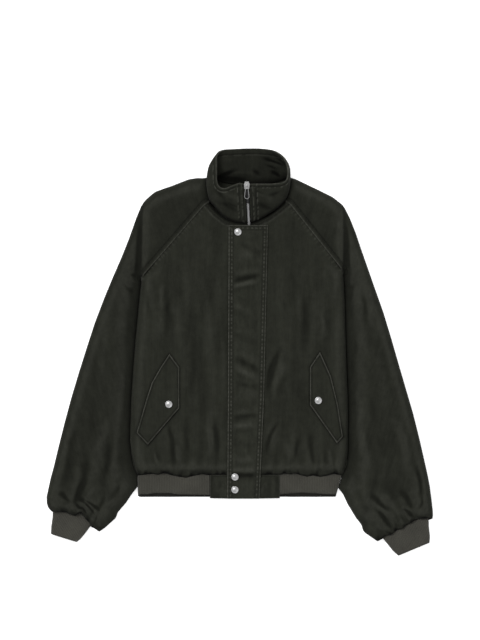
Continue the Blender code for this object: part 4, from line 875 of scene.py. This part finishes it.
def make_rib(node, up, spot, turn, pitch, name, flat, material):
    panel = Panel(node, up, 0.95, 6, spot, (turn, 4.5), (0.8,),
                  CUFF_BEND if node in CUFF_FULLNESS else PANEL_BEND)
    across = (panel.plan @ grain_axes(turn, 1.0))[:, 0]
    wobble = 0.6 * noise_field(panel.plan, 26.0, 4)
    column = np.sin(2.0 * math.pi * (across + wobble) / pitch)
    panel.raise_by(0.24 * column + 0.9 * noise_field(panel.plan, 34.0, 6) * ease(panel.from_rim / 6.0))
    # Painted shade in the hollows between the ribs
    panel.darken(0.16 * np.clip(-column, 0.0, 1.0))
    seam = WHOLE_HEM if node == "hem_rib" else SLEEVE_END[node[5:]]
    edge = distance_to(panel.plan, seam)
    # Painted shadow along the seam, under the denim that hangs over the rib
    panel.darken(0.55 * bell(edge, 4.0))
    if node in CUFF_FULLNESS:
        line, way, far = CUFF_FULLNESS[node]
        panel.reach_out(line, way, far, reach=12.0)
        tuck = np.array(seam[1]) - np.array(seam[0])
        tuck = np.array((-tuck[1], tuck[0])) / np.hypot(*tuck)
        panel.reach_out(seam, tuck, 24.0, drop=4.0, reach=32.0)
    elif up > 0:
        panel.reach_out(WHOLE_HEM, (0.0, 1.0), 6.0, drop=3.0, reach=12.0)
        for line, hollow in RIB_FOOT:
            panel.reach_out(line, (0.0, 1.0), hang_of(hollow), reach=14.0)
    else:
        for line, _ in RIB_FOOT:
            # Painted shade along the back rib's foot, in the gap under the front ribs
            foot = distance_to(panel.plan, line)
            panel.darken(0.8 * bell(foot, 5.0))
    panel.finish(name, KNIT_THICK, material, flat, slot="knit")


# ---------------------------------------------------------------- collar

# Upright sections, from the left edge of the zip round the back to its right edge: the seam's x, y and z, the rim's
# x, y and z, and the bulge in x and z, which is how far the middle of the height stands out of a straight line
COLLAR_SECTIONS = (
    (14.7, 270.9, 28, 10.1, 352.2, 44, 0, 3), (-2.1, 271.7, 28, -1.1, 354.3, 45, 0, 4),
    (-19.9, 276.8, 27, -16.8, 349, 44, 0, 5), (-36.8, 286.9, 26, -30.5, 343.8, 43, -1, 5),
    (-53.6, 305.6, 25, -42.4, 346.5, 41, -3, 5), (-64.7, 320.2, 23, -48.3, 358.1, 38, -7, 4),
    (-67.9, 340.2, 18, -49.1, 378, 33, -9.5, 2), (-67.2, 357, 11, -49.6, 399, 26, -9.5, 1),
    (-61, 364.6, 4, -49.1, 416.9, 17, -9, 0), (-42, 358, 0, -37.8, 425, 8, -3, -4),
    (-10.5, 352.8, 0, -12.6, 427.1, 4, 0, -2), (16.8, 351.7, 0, 16.8, 428.4, 3, 0, -1.5),
    (46.2, 352.8, 0, 46.2, 427.8, 4, 0, -2), (79.8, 358, 0, 73.5, 423.2, 8, 3, -4),
    (97, 364.6, 4, 92.4, 410.6, 16, 8, 0), (103.6, 356, 11, 100.8, 393.8, 24, 4, 1),
    (103.4, 340.2, 18, 102.5, 375.9, 31, 2, 2), (97, 323, 23, 98.7, 362.2, 37, 2, 4),
    (84, 307.2, 25, 88.2, 355.5, 41, 1, 5), (67.2, 294.4, 26, 71.4, 353.2, 43, 1, 5),
    (50.4, 283.9, 27, 54.6, 352.8, 44, 0, 5), (35.7, 276.4, 28, 36.8, 352.8, 45, 0, 4),
    (23.1, 271.7, 28, 18.5, 352.6, 45, 0, 3),
)
LINING_DEPTH = 3.3
COLLAR_STEPS = 8
COLLAR_ROWS = 41
COLLAR_MIDDLE = (17.0, 355.0, 22.0)
LIP_DEPTHS = (1.2, 2.4, LINING_DEPTH + 0.4)


def refined(grid, times):
    """The grid with more rows along its first axis, on smooth curves through its own points."""
    ghost = np.concatenate((2.0 * grid[:1] - grid[1:2], grid, 2.0 * grid[-1:] - grid[-2:-1]))
    rows = []
    for k in range(len(grid) - 1):
        a, b, c, d = ghost[k:k + 4]
        for t in np.arange(times) / times:
            rows.append(0.5 * (2.0 * b + (c - a) * t + (2.0 * a - 5.0 * b + 4.0 * c - d) * t ** 2
                               + (3.0 * b - a - 3.0 * c + d) * t ** 3))
    rows.append(grid[-1])
    return np.array(rows)


def walked(grid, axis):
    """Distance along a grid of points from its first row or column."""
    steps = np.linalg.norm(np.diff(grid, axis=axis), axis=2)
    return np.concatenate((np.zeros_like(steps.take([0], axis)), np.cumsum(steps, axis=axis)), axis=axis)


def make_collar_layer(node, outward, material, name, seed):
    """The outer layer (1) or the lining side (-1) of the stand collar, as a grid of columns from seam to rim."""
    sections = refined(np.array(COLLAR_SECTIONS), COLLAR_STEPS)
    share = np.linspace(0.0, 1.0, COLLAR_ROWS)[None, :, None]
    bulge = np.column_stack((sections[:, 6], np.zeros(len(sections)), sections[:, 7]))[:, None, :]
    seam, rim = sections[:, None, 0:3], sections[:, None, 3:6]
    grid = seam + (rim - seam) * share + bulge * 4.0 * share * (1.0 - share)
    grid[..., 2] = np.maximum(grid[..., 2], 0.0)
    columns, rows = grid.shape[:2]
    across = np.gradient(grid, axis=0)
    upward = np.gradient(grid, axis=1)
    ways = np.cross(upward, across)
    ways /= np.maximum(np.linalg.norm(ways, axis=2), 1e-6)[..., None]
    if np.sum(ways * (grid - np.array(COLLAR_MIDDLE))) < 0.0:
        ways = -ways
    if outward < 0:
        grid = grid - ways * LINING_DEPTH
        ways = -ways
    from_left, from_seam = (walked(grid, axis) for axis in (0, 1))
    from_rim = from_seam[:, -1:] - from_seam
    from_zip = np.minimum(from_left, from_left[-1:] - from_left)
    plan = grid[..., :2].reshape(-1, 2)
    shape = (columns, rows)
    calm = ease(from_rim / 7.0) * ease(from_zip / 9.0) * ease(from_seam / 8.0)
    relief = crumple(plan, 0.8, seed).reshape(shape) * calm
    table = COLLAR_CREASES if outward > 0 else COLLAR_LINING_CREASES
    relief += 1.3 * crease_relief(plan, table).reshape(shape) * calm
    wave = noise_field(np.column_stack((from_left.ravel(), from_seam.ravel())), 6.0, seed).reshape(shape)
    wear_and_highlight = 0.85 * bell(from_rim, 1.7) * (0.65 + 0.5 * wave)
    painted_shade = np.zeros(shape)
    stitched = ((from_rim, 6.5), (from_zip, 5.0), (from_zip, 14.0)) if outward > 0 else ((from_rim, 11.0),)
    for gap, far in stitched:
        line = bell(gap, 1.2, far)
        relief += -0.5 * line + 0.5 * wave * bell(gap, 4.0, far)
        # Painted shade in the stitch grooves
        painted_shade = np.maximum(painted_shade, np.clip(0.75 + 0.5 * wave, 0.0, 1.0) * line)
        bright = 0.5 if outward > 0 else 0.22
        wear_and_highlight = np.maximum(wear_and_highlight, bright * (wave > -0.1) * bell(gap - far, 1.2, 2.4))
    # Painted shade in the crease troughs; on the outer layer the crease tops turn paler, as wear and painted
    # highlight
    crease = crease_relief(plan, table).reshape(shape) * calm
    painted_shade = np.maximum(painted_shade, np.clip(-crease / 1.8, 0.0, 0.95))
    wear_and_highlight = np.maximum(wear_and_highlight, np.clip(crease / 9.0, 0.0, 0.2) * (outward > 0))
    # Painted shade along the foot of the collar, by the seam
    painted_shade = np.maximum(painted_shade, 0.9 * np.exp(-(from_seam / (6.0 if outward > 0 else 12.0)) ** 2))
    relief = np.maximum(relief, -0.5) - 0.3 * bell(from_rim, 1.6)
    points = grid + ways * relief[..., None]
    if outward > 0:
        lip = points[:, -1:] - ways[:, -1:] * np.array(LIP_DEPTHS)[None, :, None]
        points = np.concatenate((points, lip), axis=1)
        extra = len(LIP_DEPTHS)
        wear_and_highlight, painted_shade = (np.concatenate((v, np.repeat(v[:, -1:], extra, axis=1)), axis=1) for v in (wear_and_highlight, painted_shade))
        rows += extra
    points[..., 2] = np.maximum(points[..., 2], 0.0)
    corners = [i * rows + j for i in range(columns - 1) for j in range(rows - 1)]
    faces = [(k, k + rows, k + rows + 1, k + 1) for k in corners]
    a, b, c = (points.reshape(-1, 3)[k] for k in faces[columns * rows // 2][:3])
    here = faces[columns * rows // 2][0]
    if np.dot(np.cross(b - a, c - a), ways[here // rows, min(here % rows, COLLAR_ROWS - 1)]) < 0.0:
        faces = [f[::-1] for f in faces]
    return cloth_piece(name, points.reshape(-1, 3), faces, wear_and_highlight.ravel(), painted_shade.ravel(), COLLAR_THICK, node, material)


COLLAR_CREASES = (
    (-66, 334, -14, 296, 6, 1, 3), (-62, 322, 8, 286, 5, -1.3, 3),
    (-40, 336, 10, 312, 6, 1, 2), (-56, 350, -26, 294, 5, -1.4, 4),
    (-36, 318, 8, 302, 4, -1, -3), (30, 334, 84, 308, 6, 1.2, 3),
    (26, 316, 80, 298, 5, -1.2, -2), (44, 318, 96, 340, 5, -1.1, 2),
    (30, 340, 60, 322, 4, -0.9, 2),
)
COLLAR_LINING_CREASES = (
    (56, 400, 104, 368, 4, 2.6, 3), (40, 410, 100, 388, 3.5, -3, 2),
    (46, 396, 104, 372, 3.5, -2.4, 3), (60, 384, 90, 362, 4, -3, 2),
    (60, 422, 106, 382, 3.5, -1.8, 2), (-58, 362, 6, 386, 4, -2.4, 2),
    (-70, 360, 40, 362, 6, -2.6, 1), (-30, 374, 40, 370, 5, 1.4, 3),
    (-40, 398, 20, 404, 7, 1, 2), (24, 386, 44, 366, 5, -1.6, 2),
)


# ---------------------------------------------------------------- hard pieces

def keep_node(node, material):
    """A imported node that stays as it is, with its finish."""
    piece = bpy.data.objects[node]
    piece.data.materials.clear()
    piece.data.materials.append(material)
    return piece


def joined_copies(name, model, places, material):
    """One mesh of many copies of a small model. Each place is its origin and its three axes."""
    base = np.array([v.co[:] for v in model.data.vertices])
    shapes = [tuple(f.vertices) for f in model.data.polygons]
    bpy.data.objects.remove(model)
    points = [np.array(origin) + base @ np.array(axes) for origin, axes in places]
    faces = [tuple(k + n * len(base) for k in f) for n in range(len(places)) for f in shapes]
    mesh = bpy.data.meshes.new(name)
    mesh.from_pydata(np.concatenate(points).tolist(), [], faces)
    mesh.materials.append(material)
    piece = bpy.data.objects.new(name, mesh)
    bpy.context.collection.objects.link(piece)
    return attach(piece, JACKET)


def edit_start(select=True):
    bpy.ops.object.mode_set(mode="EDIT")
    bpy.ops.mesh.select_all(action="SELECT" if select else "DESELECT")


TOOTH_SIZE = (3.6, 1.25, 1.5)
TOOTH_BEVEL = 0.28
TOOTH_PITCH = 2.5
TOOTH_ASIDE = 0.75
TOOTH_SUNK = 0.6


def model_tooth():
    """One zip tooth, along the zip's y axis, with rounded corners."""
    bpy.ops.object.select_all(action="DESELECT")
    bpy.ops.mesh.primitive_cube_add(size=1.0, location=(0.0, 0.0, 0.0))
    tooth = bpy.context.object
    edit_start()
    bpy.ops.transform.resize(value=[size * MM for size in TOOTH_SIZE])
    bpy.ops.mesh.bevel(offset=TOOTH_BEVEL * MM, segments=1)
    bpy.ops.object.mode_set(mode="OBJECT")
    return tooth


# The pull hangs down to this y; the teeth beyond it take a darker metal, a painted shadow of the pull
PULL_END = 311.0
ZIP_CENTRE = ((14.7, -304.5), (18.9, 268.8), (14.3, 352.6))


def make_zip_teeth(material, painted_shadow_metal):
    bm = merged_copy("zip_chain")
    tree = BVHTree.FromBMesh(bm)
    low, high = (f(v.co.y for v in bm.verts) / MM for f in (min, max))
    bm.free()
    places = []
    heights = []
    ys = np.arange(low + 1.5, high - 1.0, 0.5 * TOOTH_PITCH)
    xs = np.interp(ys, [c[1] for c in ZIP_CENTRE], [c[0] for c in ZIP_CENTRE])
    for x, y in zip(xs, ys):
        hit = tree.ray_cast(Vector((x * MM, y * MM, 1.0)), Vector((0.0, 0.0, -1.0)))[0]
        heights.append(hit.z if hit else heights[-1])
    heights = np.convolve(np.pad(heights, 4, mode="edge"), np.ones(9) / 9.0, mode="valid")
    for k, (x, y) in enumerate(zip(xs, ys)):
        a, b = max(0, k - 2), min(len(ys) - 1, k + 2)
        along = Vector(((xs[b] - xs[a]) * MM, (ys[b] - ys[a]) * MM, heights[b] - heights[a])).normalized()
        across = along.cross(Vector((0.0, 0.0, 1.0))).normalized()
        normal = across.cross(along)
        hand = TOOTH_ASIDE if k % 2 else -TOOTH_ASIDE
        origin = Vector((x * MM, y * MM, heights[k] - TOOTH_SUNK * MM)) + across * hand * MM
        places.append((origin, (across[:], along[:], normal[:])))
    shown = [place for place in places if place[0].y < PULL_END * MM]
    hidden = [place for place in places if place[0].y >= PULL_END * MM]
    for name, part, finish in (("zip_teeth", shown, material), ("zip_teeth_under_pull", hidden, painted_shadow_metal)):
        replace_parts(joined_copies(name, model_tooth(), part, finish), "zip_chain")


SNAPS = ("snap_neck", "snap_hem_upper", "snap_hem_lower", "snap_pocket_left", "snap_pocket_right")
SNAP_RADIUS = 7.5
SNAP_DEPTH = 1.6
# The rings of a cap's top: how far each lies inside the last one, and how far above it
SNAP_RINGS = ((0.5, 0.35), (0.7, 0.1), (0.8, -0.3), (1.2, 0.0), (0.6, 0.5))


def model_snap():
    """A press stud's cap: a shallow drum with a rolled rim and a dished middle."""
    bpy.ops.object.select_all(action="DESELECT")
    bpy.ops.mesh.primitive_cylinder_add(vertices=40, radius=SNAP_RADIUS * MM, depth=SNAP_DEPTH * MM,
                                        location=(0.0, 0.0, 0.5 * SNAP_DEPTH * MM))
    cap = bpy.context.object
    bpy.ops.object.transform_apply(location=True)
    edit_start(select=False)
    bm = bmesh.from_edit_mesh(cap.data)
    bm.faces.ensure_lookup_table()
    top = max(bm.faces, key=lambda f: f.calc_center_median().z)
    top.select_set(True)
    bmesh.update_edit_mesh(cap.data)
    for inset, rise in SNAP_RINGS:
        bpy.ops.mesh.inset(thickness=inset * MM)
        bpy.ops.transform.translate(value=(0.0, 0.0, rise * MM))
    bpy.ops.object.mode_set(mode="OBJECT")
    return cap


def make_snaps(material):
    for node in SNAPS:
        low, high = (Vector(c) for c in corners_of(node))
        cap = model_snap()
        cap.data.transform(Matrix.Translation((0.5 * (low.x + high.x), 0.5 * (low.y + high.y), low.z)))
        cap.name = node + "_cap"
        cap.data.shade_smooth()
        cap.data.materials.append(material)
        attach(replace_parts(cap, node), JACKET)


def corners_of(node):
    points = np.array([v.co[:] for v in bpy.data.objects[node].data.vertices])
    return points.min(0), points.max(0)


# ---------------------------------------------------------------- topstitching

STITCH_LENGTH = 3.3
STITCH_GAP = 1.1
STITCH_HALF_WIDTH = 0.42
STITCH_HALF_HEIGHT = 0.34
ROW_END = 2.5
HIGHEST_STEP = 2.5


def model_stitch():
    """One stitch along y: a little spindle, half sunk in the cloth."""
    bpy.ops.object.select_all(action="DESELECT")
    bpy.ops.mesh.primitive_uv_sphere_add(segments=6, ring_count=5, radius=1.0, rotation=(math.pi / 2.0, 0.0, 0.0))
    stitch = bpy.context.object
    bpy.ops.object.transform_apply(rotation=True)
    edit_start()
    bpy.ops.transform.resize(value=(STITCH_HALF_WIDTH * MM, 0.5 * STITCH_LENGTH * MM, STITCH_HALF_HEIGHT * MM))
    bpy.ops.object.mode_set(mode="OBJECT")
    return stitch


def offset_line(line, away):
    """A polyline moved sideways, to the left of its own direction."""
    points = [np.array(p, float) for p in line]
    ways = [(b - a) / np.hypot(*(b - a)) for a, b in zip(points, points[1:])]
    moved = []
    for k, point in enumerate(points):
        way = ways[max(0, k - 1)] + ways[min(len(ways) - 1, k)]
        way /= np.hypot(*way)
        share = max(0.5, float(way @ ways[min(len(ways) - 1, k)]))
        moved.append(point + np.array((-way[1], way[0])) * away / share)
    return moved


def stitch_places(tree, line, away):
    """Where the stitches of one row lie on the cloth."""
    points = offset_line(line, away)
    steps = [0.0]
    for a, b in zip(points, points[1:]):
        steps.append(steps[-1] + float(np.hypot(*(b - a))))
    places = []
    for along in np.arange(ROW_END, steps[-1] - ROW_END, STITCH_LENGTH + STITCH_GAP):
        ends = []
        for place in (along - 0.4 * STITCH_LENGTH, along + 0.4 * STITCH_LENGTH):
            x, y = (np.interp(place, steps, [p[k] for p in points]) for k in (0, 1))
            hit = tree.ray_cast(Vector((x * MM, y * MM, 1.0)), Vector((0.0, 0.0, -1.0)))[0]
            if hit:
                ends.append(hit)
        if len(ends) < 2 or abs(ends[0].z - ends[1].z) > HIGHEST_STEP * MM:
            continue
        way = (ends[1] - ends[0]).normalized()
        across = way.cross(Vector((0.0, 0.0, 1.0))).normalized()
        places.append((0.5 * (ends[0] + ends[1]), (across[:], way[:], across.cross(way)[:])))
    return places


POCKET_EDGE = {
    "left": ((-148.1, -4.2), (-127.5, -32.6), (-127.5, -117.6), (-193.6, -194.9), (-218.8, -169.7), (-195.3, -95.6),
             (-184.8, -64.1), (-167, -32.6), (-148.1, -4.2)),
    "right": ((168, 0), (191.1, -51.5), (218, -177.5), (203.7, -191.7), (147, -111.3), (147, -31.5),
              (168, 0)),
}


def make_stitches(material):
    def surface(name):
        return BVHTree.FromObject(bpy.data.objects[name], bpy.context.evaluated_depsgraph_get())

    places = []
    flap = surface("denim_storm_flap")
    for line, hand in ((FLAP_LEFT_EDGE, 1.0), (FLAP_RIGHT_EDGE, -1.0), (FLAP_TOP_EDGE, -1.0)):
        for away in (3.0, 9.5):
            places += stitch_places(flap, line, hand * away)
    for side, hand in (("left", 1.0), ("right", -1.0)):
        sleeve = surface("denim_sleeve_" + side)
        for away in (2.2, 8.0):
            places += stitch_places(sleeve, RAGLAN[side], hand * away)
        places += stitch_places(surface("denim_front_" + side), NECK[side], -hand * 3.5)
        pocket = surface("denim_pocket_flap_" + side)
        places += stitch_places(pocket, POCKET_EDGE[side], -3.4)
    return joined_copies("topstitching", model_stitch(), places, material)


WORLD_STRENGTH = 0.56
FLOOR_GLOW = 0.62
# Name, direction to the light, degrees across and strength
LIGHTS = (("key", (-0.42, 0.52, 0.74), 30.0, 1.9), ("fill", (0.6, -0.2, 0.77), 60.0, 0.4))


def make_world_and_lights():
    world = bpy.data.worlds.new("studio")
    world.use_nodes = True
    world.node_tree.nodes["Background"].inputs["Color"].default_value = (1.0, 1.0, 1.0, 1.0)
    world.node_tree.nodes["Background"].inputs["Strength"].default_value = WORLD_STRENGTH
    bpy.context.scene.world = world
    for name, way, spread, strength in LIGHTS:
        light = bpy.data.lights.new(name, "SUN")
        light.angle = math.radians(spread)
        light.energy = strength
        lamp = bpy.data.objects.new(name, light)
        lamp.location = way
        lamp.rotation_euler = Vector(way).to_track_quat("Z", "Y").to_euler()
        bpy.context.collection.objects.link(lamp)


def make_floor():
    bpy.ops.mesh.primitive_plane_add(size=14.0, location=(0.0, 0.0, 0.0))
    floor = bpy.context.object
    floor.name = "floor"
    recipe = Recipe("pale_floor", roughness=0.9, specular=0.0)
    recipe.shader.inputs["Base Color"].default_value = (0.92, 0.92, 0.92, 1.0)
    recipe.shader.inputs["Emission Color"].default_value = (1.0, 1.0, 1.0, 1.0)
    recipe.shader.inputs["Emission Strength"].default_value = FLOOR_GLOW
    floor.data.materials.append(recipe.material)


def make_camera():
    data = bpy.data.cameras.new("camera")
    camera = bpy.data.objects.new("camera", data)
    bpy.context.collection.objects.link(camera)
    data.sensor_fit = "VERTICAL"
    data.sensor_height = 24.0
    view_height = PHOTO_SIZE[1] * MM_PER_PIXEL * MM
    data.lens = data.sensor_height * (CAMERA_HEIGHT - CLOTH_HEIGHT) / view_height
    data.clip_end = 30.0
    camera.location = (VIEW_CENTRE[0] * MM, VIEW_CENTRE[1] * MM, CAMERA_HEIGHT)
    bpy.context.scene.camera = camera
    bpy.context.scene.view_settings.view_transform = "Standard"


def main():
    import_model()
    bpy.ops.object.select_all(action="DESELECT")
    make_camera()
    make_world_and_lights()
    make_floor()
    denim = denim_material("washed_denim")
    # The sleeves, the storm flap and the collar take darker and lighter copies of the same denim: painted shade on
    # the sleeves and the collar, painted light on the storm flap
    sleeve_denim = {"left": denim_material("washed_denim_left_sleeve", -0.28, 0.86),
                    "right": denim_material("washed_denim_right_sleeve", 0.25, 0.9)}
    # The inside of the collar takes a darker copy of the same denim: painted shade
    inner_denim = denim_material("washed_denim_inside_painted_shade", depth=0.78)
    knit = {0.0: knit_material("rib_knit", 0.0, 0.0035), 0.41: knit_material("rib_knit_left_cuff", 0.41, 0.0033),
            -0.38: knit_material("rib_knit_right_cuff", -0.38, 0.0033)}
    bright = metal_material("snap_metal", 0.5, 0.42)
    dull = metal_material("zip_metal", 0.42, 0.45)
    tape = tape_material("zip_tape")
    for side, seed in (("left", 1), ("right", 2)):
        make_front(side, denim, seed)
        make_sleeve(side, sleeve_denim[side], seed + 3)
        make_pocket_flap(side, denim)
        make_block(side, denim)
        strip = Panel("zip_tape_" + side, pitch=1.6, smooth=0)
        strip.finish("tape_" + side, 0.7, tape, (0.012, 0.66), 0.0029, "tape")
    make_back(denim)
    make_storm_flap(denim_material("washed_denim_flap", depth=1.14))
    make_collar_layer("collar_outer", 1, denim_material("washed_denim_collar", depth=0.9), "denim_collar_outer", 9)
    make_collar_layer("collar_inner", -1, inner_denim, "denim_collar_inner", 11)
    for rib in RIBS:
        make_rib(*rib, knit[rib[3]])
    # The teeth under the pull take a darker metal: painted shadow
    make_zip_teeth(dull, metal_material("zip_metal_painted_shadow", 0.07, 0.5))
    make_snaps(bright)
    make_stitches(thread_material("tonal_thread", 0.021))
    keep_node("zip_slider", bright)
    keep_node("zip_pull", bright)


main()
